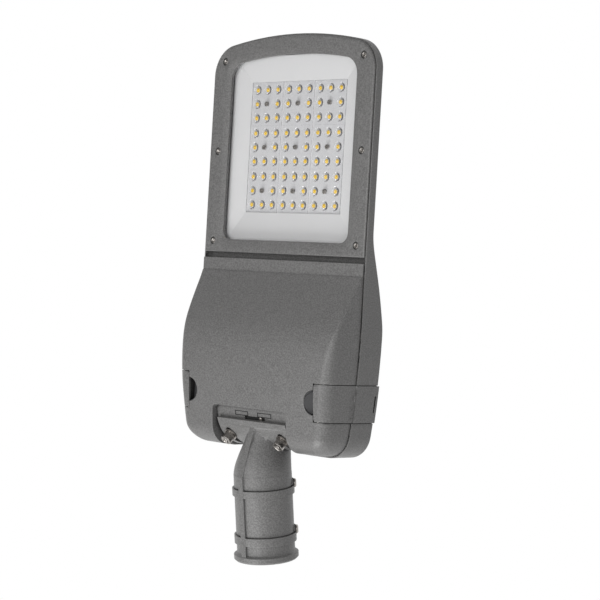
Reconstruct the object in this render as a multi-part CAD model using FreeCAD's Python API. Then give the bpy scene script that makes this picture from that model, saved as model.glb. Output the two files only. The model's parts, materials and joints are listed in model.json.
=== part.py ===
"""LED street light head with a tilting pole spigot, in millimetres.

The head is built face down: the light leaves towards -Z, the nose points to -Y and the pole comes in
from +Y. Model space has its origin at the middle of the LED array on the plane of the lens frame, and
every solid is moved at export so that the origin lies at the centre of the spigot's mouth.
"""
import FreeCAD, Part
import math
import os

V = FreeCAD.Vector
X_AXIS = V(1, 0, 0)
Y_AXIS = V(0, 1, 0)
Z_AXIS = V(0, 0, 1)

# Plan outline shared by the lens frame, the gear cover and the housing
half_width = 129.3
nose_y = -127.7
nose_r = 540.0
nose_corner_r = 34.0
taper_y = 200.0
taper_r = 872.0
rear_corner_r = 28.0
rear_y = 348.0

# Housing casting
rim_step = 1.9
wall = 3.0
light_h = 14.0
gear_h = 38.4
ramp_y0 = 95.0
ramp_y1 = 215.0
ramp_mid = ((121.0, 18.3), (159.0, 28.9), (190.0, 35.8))
seam_z = 2.8
back_edge_r = 3.0
deck_inset = 9.0
deck_z = 25.0
deck_edge_r = 5.0
split_y = 90.0

# Cooling fins
fin_top = 36.0
fin_t = 2.6
fin_pitch = 14.5
fin_count = 15
fin_front_y = -112.0
fin_rear_y = 119.0
fin_nose_r = 14.0

# Lens frame
frame_rear_y = 124.4
frame_t = 2.4
frame_edge_r = 2.0
frame_foot = 1.5
win_half_w = 101.3
win_front_y = -106.5
win_rear_y = 109.3
win_corner_r = 12.0
win_front_r = 21.0
bevel_w = 8.3
bevel_h = 2.25
frame_wall = 5.6
gasket_t = 1.0
gasket_z = 6.2
glass_t = 3.8
glass_lap = 6.3
seat_gap = 0.4

# Screws of the lens frame
screw_spots = ((111.7, -101.0), (116.1, 5.4), (115.9, 111.3))
m4_r = 2.0
m4_head_r = 3.5
m4_socket = 3.0
m4_seal_t = 0.9
m4_head_h = 1.3
m4_len = 12.0
counterbore_r = 4.6
head_proud = 0.6

# LED unit
led_pitch = 16.5
plate_pitch = 50.8
plate_side = 50.6
plate_t = 1.5
led_plane_z = 15.6
board_t = 1.6
board_half = 76.6
dome_r = 4.9
dome_h = 3.6
dome_sides = 8
chip_side = 3.0
chip_t = 0.7
chip_pocket = 4.4
reflector_t = 0.8
reflector_in = 76.5
reflector_lip = 2.4
m3_r = 1.5
m3_head_r = 2.8
m3_head_h = 1.6
m3_len = 6.0

# Gear cover
strip_y = 131.3
cover_t = 2.6
crease_y = 146.0
band_h = 3.0
side_draft = math.tan(math.radians(10.0))
depth_line = ((146.0, 0.9), (167.0, 11.2), (184.0, 20.3), (197.0, 27.2), (210.0, 33.0),
              (230.0, 38.2), (254.0, 40.6), (280.0, 40.4), (303.0, 38.3), (323.0, 36.5))
corner_line = ((146.0, 0.5), (167.0, 1.0), (184.0, 1.5), (197.0, 3.0), (210.0, 5.4),
               (230.0, 9.4), (254.0, 13.0), (280.0, 15.0), (303.0, 16.0), (323.0, 17.0))
rear_round_r = 25.0
cover_crown = 1.9
cover_rim_z = 2.0

# Cover hinge
hinge_y = 138.5
hinge_z = 8.0
hinge_pin_r = 2.0
hinge_barrel_r = 3.5
hinge_fit = 0.05
arm_x = (71.0, 83.0)
knuckle_w = 6.0
knuckle_gap = 0.5
relief_y0 = 122.8
relief_y1 = 142.0
relief_top = 13.0
relief_side = 1.6
gear_front_t = 3.5

# Tilt joint: boss on the housing, saddle on the spigot
tilt_y = 302.1
tilt_z = 10.0
boss_r = 40.0
boss_t = 6.0
boss_half = 62.0
saddle_gap = 0.4
saddle_r = 45.5
saddle_half = 55.3
saddle_a0 = 18.6
saddle_a1 = 100.0
slot_x = 42.3
slot_a0 = 34.0
slot_a1 = 74.0
slot_w = 9.2
bolt_angle = 45.5
m8_r = 4.0
m8_head_r = 6.5
m8_head_h = 8.0
m8_len = 24.0
washer_r = 8.0
washer_t = 1.6
spring_washer_r = 6.6
spring_washer_t = 1.6
washer_gap = 0.3
notch_half = 60.0
notch_y = 301.5
notch_corner_r = 4.5
notch_wall = 2.4
boss_gap = 0.5
boss_back_z = 29.0
cable_window = (-14.5, 18.3)
cable_angles = (13.5, 52.0)

# Spigot
tube_y = 375.7
tube_z = -9.0
tube_pitch = 8.3
tube_r = 33.5
bore_r = 30.5
tube_len = 100.0
bore_stop = 14.0
throat_r = 24.0
ring_r = 35.8
ring_groove = 0.9
ring_spots = ((15.7, 24.0), (70.0, 79.5))
flange_r = 37.3
flange_s = 93.0
neck_y = 347.0
neck_half_w = 27.0
neck_z = (-34.0, 24.0)
root_y = 317.0
root_half_w = 23.0
root_z = (-27.5, 21.0)
neck_t = 5.0
neck_step = 0.2
rib_half = 3.5
rib_h = 2.6
clamp_s = (13.5, 67.5)
clamp_angle = 45.0
clamp_boss_r = 6.0
clamp_seat = 34.7
clamp_head_r = 5.25
clamp_head_h = 3.4
clamp_head_edge = 2.2
m6_r = 3.0

# Side latches
latch_y = 287.3
latch_half = 20.75
latch_edge_x = 101.6
latch_t = 3.0
latch_gap = 0.8
latch_corner_r = 3.0
latch_axis = (105.4, -32.4)
latch_barrel_r = 3.2
latch_pin_r = 1.2
latch_lug = 8.0
latch_clear = 0.4
latch_web_h = 8.3
latch_trough_wall = 1.2
latch_pocket_wall = 2.2
latch_knuckle_r = 2.0
latch_knuckle_gap = 0.4
latch_slot_r = 1.1
latch_slot_half = 8.5
latch_slot_z = 34.2
scoop_r = 15.5
scoop_x = 100.5
scoop_deep = 3.8

# Gear inside the gear box
tray_t = 1.5
tray_z = 28.5
tray_box = (-104.0, 104.0, 185.0, 264.0)
pad_r = 5.0
driver_box = (-84.0, 46.0, 188.0, 246.0)
driver_h = 30.0
driver_edge = 3.0
surge_box = (56.0, 88.0, 189.0, 229.0)
surge_h = 24.0
terminal_box = (50.0, 90.0, 235.0, 255.0)
terminal_h = 18.0
clamp_box = (-26.0, 26.0, 250.0, 262.0)
clamp_h = 12.0
cover_gasket_w = 2.6
cover_gasket_z0 = 2.4
cover_gasket_z1 = 4.6

# Place of model space in the part frame: the spigot's mouth becomes the origin
pitch = math.radians(tube_pitch)
tube_dir = V(0, math.cos(pitch), math.sin(pitch))
tube_down = V(0, math.sin(pitch), -math.cos(pitch))
tube_start = V(0, tube_y, tube_z)
mouth = tube_start + tube_dir * tube_len


def box(x0, x1, y0, y1, z0, z1):
    return Part.makeBox(x1 - x0, y1 - y0, z1 - z0, V(x0, y0, z0))


def rod(radius, start, direction, length):
    return Part.makeCylinder(radius, length, start, direction)


def line(a, b):
    return Part.LineSegment(a, b).toShape()


def arc(a, m, b):
    return Part.Arc(a, m, b).toShape()


def fuse(solids):
    body = solids[0]
    for s in solids[1:]:
        body = body.fuse(s)
    return body


def carve(body, tools):
    for t in tools:
        body = body.cut(t)
    return body


def group(solids):
    return Part.makeCompound(solids)


def mirror_x(shape):
    return shape.mirror(V(0, 0, 0), X_AXIS)


def ramp(table, y):
    """Value at y on a smooth line through the table's points."""
    if y <= table[0][0]:
        return table[0][1]
    if y >= table[-1][0]:
        return table[-1][1]
    i = max(k for k in range(len(table) - 1) if table[k][0] <= y)
    slopes = []
    for k in (i, i + 1):
        lo = table[max(k - 1, 0)]
        hi = table[min(k + 1, len(table) - 1)]
        slopes.append((hi[1] - lo[1]) / (hi[0] - lo[0]))
    span = table[i + 1][0] - table[i][0]
    t = (y - table[i][0]) / span
    a = table[i][1] * (1 + 2 * t) * (1 - t) ** 2 + table[i + 1][1] * t * t * (3 - 2 * t)
    return a + span * (slopes[0] * t * (1 - t) ** 2 - slopes[1] * t * t * (1 - t))


taper_c = half_width - taper_r
rear_corner_y = rear_y - rear_corner_r
rear_corner_x = taper_c + math.sqrt((taper_r - rear_corner_r) ** 2 - (rear_corner_y - taper_y) ** 2)
nose_c = nose_y + nose_r
nose_corner_x = half_width - nose_corner_r
nose_corner_y = nose_c - math.sqrt((nose_r - nose_corner_r) ** 2 - nose_corner_x ** 2)


def half_at(y, off=0.0):
    """Half width of the gear box's plan outline at y, moved outwards by off."""
    if y <= taper_y:
        return half_width + off
    d = V(rear_corner_x - taper_c, rear_corner_y - taper_y, 0).normalize()
    if y <= taper_y + (taper_r + off) * d.y:
        return taper_c + math.sqrt((taper_r + off) ** 2 - (y - taper_y) ** 2)
    rise = min(y - rear_corner_y, rear_corner_r + off)
    return rear_corner_x + math.sqrt((rear_corner_r + off) ** 2 - rise ** 2)


def nose_points(off):
    """Right-hand points of the nose: end of the side, middle of the corner, end of the corner."""
    centre = V(nose_corner_x, nose_corner_y, 0)
    d = (centre - V(0, nose_c, 0)).normalize()
    r = nose_corner_r + off
    mid = (d + X_AXIS).normalize()
    return centre + X_AXIS * r, centre + mid * r, centre + d * r


def tail_points(off):
    """Right-hand points of the tail: taper start, taper middle, corner start, middle and end."""
    c = V(taper_c, taper_y, 0)
    k = V(rear_corner_x, rear_corner_y, 0)
    d = (k - c).normalize()
    half_turn = 0.5 * math.asin(d.y)
    r = taper_r + off
    taper_mid = c + V(math.cos(half_turn), math.sin(half_turn), 0) * r
    rr = rear_corner_r + off
    return c + X_AXIS * r, taper_mid, c + d * r, k + (d + Y_AXIS).normalize() * rr, k + Y_AXIS * rr


def flip(p):
    return V(-p.x, p.y, p.z)


def plan_wire(off, front=None, rear=None):
    """Closed plan outline, moved outwards by off and cut straight at front or rear where given."""
    hw = half_width + off
    edges = []
    if front is None:
        a, m, b = nose_points(off)
        edges += [arc(a, m, b), arc(b, V(0, nose_y - off, 0), flip(b)), arc(flip(b), flip(m), flip(a))]
        start = a
    else:
        start = V(half_at(front, off), front, 0)
        edges.append(line(start, flip(start)))
    if rear is not None:
        end = V(hw, rear, 0)
        edges += [line(flip(start), flip(end)), line(flip(end), end), line(end, start)]
        return Part.Wire(Part.__sortEdges__(edges))
    p, q, r, s, t = tail_points(off)
    edges += [line(flip(start), flip(p)), arc(flip(p), flip(q), flip(r)), arc(flip(r), flip(s), flip(t))]
    edges += [line(flip(t), t), arc(t, s, r), arc(r, q, p), line(p, start)]
    return Part.Wire(Part.__sortEdges__(edges))


def prism(wire, z0, z1):
    face = Part.Face(wire)
    face.translate(V(0, 0, z0))
    return face.extrude(V(0, 0, z1 - z0))


def loop_edges(solid, z):
    """Edges of a solid that lie in the plane at z."""
    found = []
    for e in solid.Edges:
        b = e.BoundBox
        if abs(b.ZMin - z) < 1e-4 and abs(b.ZMax - z) < 1e-4:
            found.append(e)
    return found


def window_wire(off):
    """Window outline of the lens frame: curved front edge and four rounded corners."""
    hw = win_half_w + off
    nose = V(0, win_front_y + nose_r, 0)
    fx = win_half_w - win_front_r
    front = V(fx, nose.y - math.sqrt((nose_r - win_front_r) ** 2 - fx ** 2), 0)
    d = (front - nose).normalize()
    fr = win_front_r + off
    lead = [front + d * fr, front + (d + X_AXIS).normalize() * fr, front + X_AXIS * fr]
    cr = win_corner_r + off
    k = V(hw - cr, win_rear_y + off - cr, 0)
    tail = [k + X_AXIS * cr, k + V(1, 1, 0).normalize() * cr, k + Y_AXIS * cr]
    edges = [arc(lead[0], V(0, win_front_y - off, 0), flip(lead[0])), line(lead[2], tail[0])]
    edges += [line(tail[2], flip(tail[2])), line(flip(tail[0]), flip(lead[2]))]
    edges += [arc(*lead), arc(*tail), arc(*[flip(p) for p in lead]), arc(*[flip(p) for p in tail])]
    return Part.Wire(Part.__sortEdges__(edges))


def mirrored_spots():
    return [(sx * x, y) for x, y in screw_spots for sx in (1, -1)]


def at_tilt(radius, angle, x=0.0):
    """Point at a radius and an angle from -Z towards +Y about the tilt axis."""
    a = math.radians(angle)
    return V(x, tilt_y + radius * math.sin(a), tilt_z - radius * math.cos(a))


def tilt_dir(angle):
    a = math.radians(angle)
    return V(0, math.sin(a), -math.cos(a))


def tilt_sector(r0, r1, a0, a1, x0, x1):
    """Ring sector about the tilt axis, from angle a0 to a1, between x0 and x1."""
    am = 0.5 * (a0 + a1)
    outer = arc(at_tilt(r1, a0, x0), at_tilt(r1, am, x0), at_tilt(r1, a1, x0))
    inner = arc(at_tilt(r0, a1, x0), at_tilt(r0, am, x0), at_tilt(r0, a0, x0))
    edges = [outer, line(at_tilt(r1, a1, x0), at_tilt(r0, a1, x0)), inner]
    edges.append(line(at_tilt(r0, a0, x0), at_tilt(r1, a0, x0)))
    return Part.Face(Part.Wire(edges)).extrude(V(x1 - x0, 0, 0))


def yz_prism(points, x0, x1):
    pts = [V(x0, y, z) for y, z in points]
    return Part.Face(Part.makePolygon(pts + [pts[0]])).extrude(V(x1 - x0, 0, 0))


def rear_stations(off):
    """Stations round the rear edge of the cover, from its deepest line to the rear wall."""
    y_c = depth_line[-1][0]
    z_c = depth_line[-1][1] - rear_round_r
    r = rear_round_r + off
    return [(y_c + (rear_y - rear_round_r - y_c) + r * math.sin(a), z_c + r * math.cos(a))
            for a in [math.radians(k) for k in (18.0, 36.0, 52.0, 66.0, 79.0, 90.0)]]


def cover_section(y, depth, off, top_z):
    """Closed cross-section of the cover at y: rim band, drafted side, rounded corner, flat bottom."""
    xs = half_at(min(y, rear_y + off), off)
    zb = -min(band_h, 0.55 * depth)
    xc = xs - side_draft * (depth + zb)
    r = max(0.5, ramp(corner_line, y) + off)
    r = min(r, 0.8 * (depth + zb))
    run = r / math.tan(math.radians(50.0))
    low = depth - min(cover_crown, 0.05 * depth)
    corner = V(xc, y, -low)
    up = (V(xs, y, zb) - corner).normalize()
    s = corner + up * run
    e = V(xc - run, y, -low)
    k = e + V(0, 0, r)
    m = k + (corner - k).normalize() * r
    a = V(xs, y, top_z)
    b = V(xs, y, zb)
    edges = [line(a, b), line(b, s), arc(s, m, e), arc(e, V(0, y, -depth), flip(e)), arc(flip(e), flip(m), flip(s))]
    edges += [line(flip(s), flip(b)), line(flip(b), flip(a)), line(flip(a), a)]
    return Part.Wire(edges)


def cover_bulge(off, top_z):
    """Solid bounded by the cover's outer form, moved by off."""
    stations = []
    for y, depth in depth_line:
        stations.append((y if off == 0.0 or y > crease_y else y - off * 1.5, depth + off))
    stations[0] = (stations[0][0], max(stations[0][1], 0.6))
    stations += rear_stations(off)
    wires = [cover_section(y, d, off, top_z) for y, d in stations]
    return Part.makeLoft(wires, True, False)


def latch_zone(gap, top):
    """Block that holds one latch between its two ends, from its free edge outwards."""
    x0 = latch_edge_x - gap
    y0 = latch_y - latch_half - gap
    y1 = latch_y + latch_half + gap
    zone = box(x0, half_width + 10.0, y0, y1, -60.0, top)
    ends = []
    for e in zone.Edges:
        b = e.BoundBox
        if b.XMax - b.XMin < 1e-6 and b.YMax - b.YMin < 1e-6 and abs(b.XMin - x0) < 1e-6:
            ends.append(e)
    return zone.makeFillet(latch_corner_r + gap, ends)


def latch_form(depth):
    """Cover and housing side taken together, sunk by depth below their surfaces."""
    low = cover_bulge(-depth, seam_z + 0.2)
    high = prism(plan_wire(rim_step - depth, front=crease_y + 20.0), seam_z - 1.0, gear_h + 20.0)
    return low, high


# Sub-parts

def make_spigot():
    prof = [V(0, 0, 0), V(tube_r, 0, 0)]
    for s0, s1 in ring_spots:
        prof += [V(tube_r, 0, s0 - ring_groove), V(tube_r - ring_groove, 0, s0 - ring_groove + 0.1)]
        prof += [V(tube_r - ring_groove, 0, s0 - 0.1), V(ring_r, 0, s0), V(ring_r, 0, s1), V(tube_r, 0, s1 + 0.6)]
    prof += [V(tube_r, 0, flange_s - 2.0), V(flange_r, 0, flange_s), V(flange_r, 0, tube_len - 2.0)]
    prof += [V(flange_r - 2.0, 0, tube_len), V(0, 0, tube_len)]
    barrel = Part.Face(Part.makePolygon(prof + [prof[0]])).revolve(V(0, 0, 0), Z_AXIS, 360.0)
    bore = rod(bore_r, V(0, 0, bore_stop), Z_AXIS, tube_len)
    throat = rod(throat_r, V(0, 0, 1.0), Z_AXIS, bore_stop)
    turn = tube_pitch - 90.0
    for s in (barrel, bore, throat):
        s.rotate(V(0, 0, 0), X_AXIS, turn)
        s.translate(tube_start)

    def oval(y, half, z0, z1, inset):
        n = 16
        pts = []
        for k in range(n):
            a = 2 * math.pi * k / n
            z = 0.5 * (z0 + z1) + (0.5 * (z1 - z0) - inset) * math.sin(a)
            pts.append(V((half - inset) * math.cos(a), y, z))
        c = Part.BSplineCurve()
        c.interpolate(pts, PeriodicFlag=True)
        return Part.Wire(c.toShape())

    def tube_ring(inset, s):
        n = 16
        pts = []
        for k in range(n):
            a = 2 * math.pi * k / n
            p = tube_start + tube_dir * s + X_AXIS * ((tube_r - inset) * math.cos(a))
            pts.append(p - tube_down * ((tube_r - inset) * math.sin(a)))
        c = Part.BSplineCurve()
        c.interpolate(pts, PeriodicFlag=True)
        return Part.Wire(c.toShape())

    neck = Part.makeLoft([oval(root_y, root_half_w, root_z[0], root_z[1], 0.0),
                          oval(neck_y, neck_half_w, neck_z[0], neck_z[1], 0.0),
                          tube_ring(neck_step, 0.0), tube_ring(neck_step, 4.0)], True, False)
    neck = neck.cut(rod(boss_r + saddle_gap + 1.5, V(-90, tilt_y, tilt_z), X_AXIS, 180.0))
    duct = Part.makeLoft([oval(root_y, root_half_w, root_z[0], root_z[1], neck_t),
                          oval(neck_y, neck_half_w, neck_z[0], neck_z[1], neck_t),
                          tube_ring(tube_r - throat_r + 1.0, 2.0)], True, False)
    plate = tilt_sector(boss_r + saddle_gap, saddle_r, saddle_a0, saddle_a1, -saddle_half, saddle_half)
    rib_top = [(at_tilt(saddle_r - 1.0, 27.0).y, at_tilt(saddle_r - 1.0, 27.0).z),
               (neck_y, neck_z[0] - rib_h)]
    for s in (0.0, flange_s):
        p = tube_start + tube_dir * s + tube_down * (tube_r + rib_h)
        rib_top.append((p.y, p.z))
    far = tube_start + tube_dir * flange_s + tube_down * (tube_r - 1.0)
    near = tube_start + tube_down * (tube_r - 1.5)
    rib = yz_prism(rib_top + [(far.y, far.z), (near.y, near.z), (neck_y, neck_z[0] + 3.0),
                              (root_y + 12.0, root_z[0] + 3.0)], -rib_half, rib_half)
    bosses = []
    for s in clamp_s:
        for side in (1, -1):
            start = tube_start + tube_dir * s
            bosses.append(rod(clamp_boss_r, start, clamp_dir(side), clamp_seat))
    body = fuse([barrel, neck, plate, rib] + bosses)
    cuts = [bore, throat, duct]
    for side in (1, -1):
        x = side * slot_x
        end = math.degrees(0.5 * slot_w / saddle_r)
        a0, a1 = slot_a0 + end, slot_a1 - end
        cuts.append(tilt_sector(boss_r - 2.0, saddle_r + 4.0, a0, a1, x - slot_w / 2, x + slot_w / 2))
        for a in (a0, a1):
            cuts.append(rod(slot_w / 2, at_tilt(boss_r - 2.0, a, x), tilt_dir(a), 12.0))
    for s in clamp_s:
        for side in (1, -1):
            d = clamp_dir(side)
            start = tube_start + tube_dir * s
            cuts.append(rod(m6_r, start, d, ring_r + 5.0))
            cuts.append(rod(clamp_head_r + 0.4, start + d * clamp_seat, d, 6.0))
    return carve(body, cuts)


def clamp_dir(side):
    a = math.radians(clamp_angle)
    return X_AXIS * (side * math.sin(a)) - tube_down * math.cos(a)


def make_clamp_screws():
    out = []
    for s in clamp_s:
        for side in (1, -1):
            d = clamp_dir(side)
            start = tube_start + tube_dir * s
            shank = rod(m6_r, start + d * (bore_r + 0.1), d, clamp_seat - bore_r + 0.9)
            top = start + d * (clamp_seat + clamp_head_h)
            head = rod(clamp_head_r, start + d * clamp_seat, d, clamp_head_h)
            rim = [e for e in head.Edges if e.Closed and e.CenterOfMass.distanceToPoint(top) < 0.1]
            head = head.makeFillet(clamp_head_edge, rim)
            socket = hex_hole(top - d * 2.0, d, 4.0, 4.0)
            out.append(shank.fuse(head).cut(socket))
    return group(out)


def hex_hole(start, direction, across, depth):
    """Hexagon socket, with its size across flats, from a point along a direction."""
    r = across / math.sqrt(3.0)
    pts = [V(r * math.cos(math.radians(60 * k)), r * math.sin(math.radians(60 * k)), 0) for k in range(7)]
    hole = Part.Face(Part.makePolygon(pts)).extrude(V(0, 0, depth))
    hole.Placement = FreeCAD.Placement(start, FreeCAD.Rotation(Z_AXIS, direction))
    return hole


def ramp_profile(drop):
    """Side profile of the housing's back, lowered by drop, as an extruded block."""
    pts = [V(0, y, z) for y, z in ((ramp_y0, light_h),) + ramp_mid + ((ramp_y1, gear_h),)]
    for p in pts:
        p.z -= drop
    c = Part.BSplineCurve()
    c.interpolate(Points=pts, InitialTangent=V(0, 30, 0), FinalTangent=V(0, 30, 0))
    y0, y1, low = split_y, rear_y + 20.0, -60.0
    a, b = V(0, y0, pts[0].z), V(0, y1, pts[-1].z)
    edges = [line(V(0, y0, low), a), line(a, pts[0]), c.toShape(), line(pts[-1], b)]
    edges += [line(b, V(0, y1, low)), line(V(0, y1, low), V(0, y0, low))]
    return Part.Face(Part.Wire(edges))


def back_block(drop, off):
    face = ramp_profile(drop)
    hw = half_width + off
    face.translate(V(-hw, 0, 0))
    return face.extrude(V(2 * hw, 0, 0))


def boss_block(r, front_pad, side):
    """D-shaped block of the tilt boss: round towards the saddle, straight up to the roof."""
    disc = rod(r, V(-side, tilt_y, tilt_z), X_AXIS, 2 * side)
    return disc.fuse(box(-side, side, tilt_y - r + front_pad, tilt_y + r, tilt_z, gear_h - 1.0))


def make_housing():
    nose = prism(plan_wire(rim_step, rear=split_y), seam_z, light_h)
    nose = nose.makeFillet(back_edge_r, [e for e in loop_edges(nose, light_h)
                                         if e.BoundBox.YMin < split_y - 1.0])
    tail = prism(plan_wire(rim_step, front=split_y), seam_z, gear_h)
    tail = tail.common(back_block(0.0, rim_step + 10.0))
    rim = [e for e in tail.Edges if e.BoundBox.ZMin > light_h - 0.1 and e.BoundBox.YMax > split_y + 0.1
           and e.BoundBox.DiagonalLength > 3.0 and (e.BoundBox.YMax > rear_y or e.BoundBox.XMax < 0
                                                   or e.BoundBox.XMin > 0)]
    tail = tail.makeFillet(back_edge_r, rim)
    deck = prism(plan_wire(-deck_inset, rear=relief_y1 + 12.0), light_h - 2.0, deck_z)
    deck = deck.makeFillet(deck_edge_r, [e for e in loop_edges(deck, deck_z)
                                         if e.BoundBox.YMin < relief_y1])
    fins = []
    for k in range(fin_count):
        x = (k - 0.5 * (fin_count - 1)) * fin_pitch
        front = fin_front_y + x * x / (2 * nose_r)
        pts = [(front, deck_z - 6.0), (front, deck_z - 1.0), (front + fin_nose_r, fin_top)]
        pts += [(fin_rear_y, fin_top), (fin_rear_y, deck_z - 6.0)]
        fins.append(yz_prism(pts, x - fin_t / 2, x + fin_t / 2))
    body = fuse([nose, tail, deck] + fins)

    cuts = []
    glass_pocket = prism(window_wire(glass_lap + 1.2), seam_z - 1.0, gasket_z + gasket_t + glass_t)
    led_hw = win_half_w + glass_lap - 3.5
    led_floor = led_plane_z + plate_t + board_t
    led_pocket = box(-led_hw, led_hw, win_front_y - 0.5, win_rear_y + 1.5, seam_z - 1.0, led_floor)
    cuts += [glass_pocket, led_pocket]
    for x, y in mirrored_spots():
        cuts.append(rod(m4_r, V(x, y, seam_z - 1.0), Z_AXIS, head_seat() + m4_len - seam_z + 2.1))
    rw = half_width + rim_step - relief_side
    cuts.append(box(-rw, rw, relief_y0, relief_y1, seam_z - 1.0, relief_top))
    room = prism(plan_wire(rim_step - wall - 1.6, front=relief_y1 + gear_front_t), seam_z - 1.0, gear_h)
    room = room.common(back_block(wall, 0.0))
    cuts.append(room)
    body = carve(body, cuts)

    boss = boss_block(boss_r, 14.0, boss_half)
    hollow = boss_block(boss_r - boss_t, 14.0, boss_half - 4.0)
    front_cut = box(-boss_half - 1, boss_half + 1, tilt_y - boss_r - 1, tilt_y - 28.0, -60.0, gear_h - 4.0)
    pads = []
    for x, y in tray_spots():
        pads.append(rod(pad_r, V(x, y, tray_z + tray_t), Z_AXIS, gear_h - tray_z - tray_t - 1.0))
    for side in (1, -1):
        for x in (arm_x[0] - knuckle_gap - knuckle_w, arm_x[1] + knuckle_gap):
            x0 = x if side > 0 else -x - knuckle_w
            lug = rod(hinge_barrel_r, V(x0, hinge_y, hinge_z), X_AXIS, knuckle_w)
            web = box(x0, x0 + knuckle_w, hinge_y - hinge_barrel_r, hinge_y + hinge_barrel_r, hinge_z,
                      relief_top + 1.0)
            pads.append(lug.fuse(web))
    keep = prism(plan_wire(rim_step, front=split_y), -60.0, gear_h).common(back_block(1.0, rim_step + 10.0))
    posts = fuse(pads + [boss.cut(hollow).cut(front_cut)]).common(keep)
    body = body.fuse(posts).removeSplitter()

    cuts = [pin_rod(side, hinge_pin_r + hinge_fit) for side in (1, -1)]
    outer = box(-boss_half, boss_half, tilt_y, rear_y + 20.0, -60.0, boss_back_z)
    cuts.append(outer.cut(rod(boss_r, V(-90, tilt_y, tilt_z), X_AXIS, 180.0)))
    cuts.append(box(-boss_half, boss_half, tilt_y + boss_r, rear_y + 20.0, boss_back_z - 1.0, gear_h + 5.0))
    for side in (1, -1):
        p = at_tilt(boss_r - boss_t - 2.0, bolt_angle, side * slot_x)
        cuts.append(rod(m8_r + hinge_fit, p, tilt_dir(bolt_angle), boss_t + 4.0))
    a0, a1 = cable_angles
    cuts.append(tilt_sector(boss_r - boss_t - 2.0, boss_r + 2.0, a0, a1, cable_window[0], cable_window[1]))
    for x, y in tray_spots():
        cuts.append(rod(m3_r, V(x, y, tray_z + tray_t - 1.0), Z_AXIS, 6.0))
    for x, y in plate_centres():
        cuts.append(rod(m3_r, V(x, y, led_floor - 1.0), Z_AXIS, m3_len))
    cuts.append(gasket_ring())
    low, high = latch_form(latch_t + 0.4)
    zone = latch_zone(latch_gap, gear_h + 10.0)
    pocket = zone.cut(high).common(box(0, 200, 0, 400, seam_z - 1.0, gear_h + 10.0))
    cuts += [pocket, mirror_x(pocket)]
    return carve(body, cuts)


def tray_spots():
    x0, x1, y0, y1 = tray_box
    return [(x, y) for x in (x0 + 6.0, x1 - 6.0) for y in (y0 + 6.0, y1 - 6.0)]


def plate_centres():
    steps = (-plate_pitch, 0.0, plate_pitch)
    return [(x, y) for y in steps for x in steps]


def head_seat():
    """Height of the counterbores' floor, where the frame screws' heads sit."""
    return head_proud + m4_head_h


def gasket_ring():
    """Cover gasket: rubber cord in its groove round the gear box, open at the tilt boss."""
    outer = prism(plan_wire(rim_step - 1.5 - relief_side, front=relief_y1 + 0.4), cover_gasket_z0,
                  cover_gasket_z1)
    inner = prism(plan_wire(rim_step - 1.5 - relief_side - cover_gasket_w,
                            front=relief_y1 + 0.4 + cover_gasket_w), cover_gasket_z0 - 1.0,
                  cover_gasket_z1 + 1.0)
    gap = box(-boss_half - 1.0, boss_half + 1.0, 250.0, rear_y + 20.0, -10.0, 20.0)
    low, high = latch_form(latch_t + 0.9)
    side = latch_zone(latch_gap + 0.5, gear_h).cut(high)
    under = latch_zone(latch_gap + 0.5, seam_z + 0.4)
    return carve(outer.cut(inner), [gap, side, mirror_x(side), under, mirror_x(under)])


def make_lens_frame():
    plate = prism(plan_wire(0.0, rear=frame_rear_y), 0.0, frame_t)
    plate = plate.makeFillet(frame_edge_r, loop_edges(plate, 0.0))
    foot = prism(plan_wire(-frame_foot, rear=frame_rear_y - frame_foot), frame_t - 0.5, seam_z)
    skirt = prism(window_wire(frame_wall), 1.0, gasket_z)
    body = plate.fuse(foot).fuse(skirt)
    lower = Part.makeLoft([window_wire(bevel_w), moved(window_wire(0.0), bevel_h)], True, True)
    cuts = [lower, prism(window_wire(0.0), bevel_h - 0.5, gasket_z + 1.0)]
    for x, y in mirrored_spots():
        cuts.append(rod(counterbore_r, V(x, y, -1.0), Z_AXIS, head_seat() + 1.0))
        cuts.append(rod(m4_r + 0.2, V(x, y, -1.0), Z_AXIS, 10.0))
    body = body.removeSplitter()
    for c in cuts:
        body = body.cut(c)
    return body


def moved(wire, z):
    w = wire.copy()
    w.translate(V(0, 0, z))
    return w


def make_glass_gasket():
    ring = prism(window_wire(glass_lap - 0.3), gasket_z, gasket_z + gasket_t)
    return ring.cut(prism(window_wire(0.6), gasket_z - 1.0, gasket_z + 3.0))


def make_glass():
    z = gasket_z + gasket_t
    return prism(window_wire(glass_lap), z, z + glass_t)


def make_frame_screws():
    out = []
    for x, y in mirrored_spots():
        head = rod(m4_head_r, V(x, y, head_proud), Z_AXIS, m4_head_h)
        head = head.makeFillet(0.7, loop_edges(head, head_proud))
        shank = rod(m4_r, V(x, y, head_seat() - 0.1), Z_AXIS, m4_len)
        out.append(head.fuse(shank).cut(hex_hole(V(x, y, head_proud - 1.0), Z_AXIS, m4_socket, 2.6)))
    return group(out)


def make_screw_seals():
    """Rubber rings that fill the counterbores round the heads of the frame screws."""
    out = []
    floor = head_seat()
    for x, y in mirrored_spots():
        ring = rod(counterbore_r - 0.05, V(x, y, floor - m4_seal_t), Z_AXIS, m4_seal_t)
        out.append(ring.cut(rod(m4_head_r + 0.05, V(x, y, floor - m4_seal_t - 1.0), Z_AXIS, 4.0)))
    return group(out)


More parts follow.
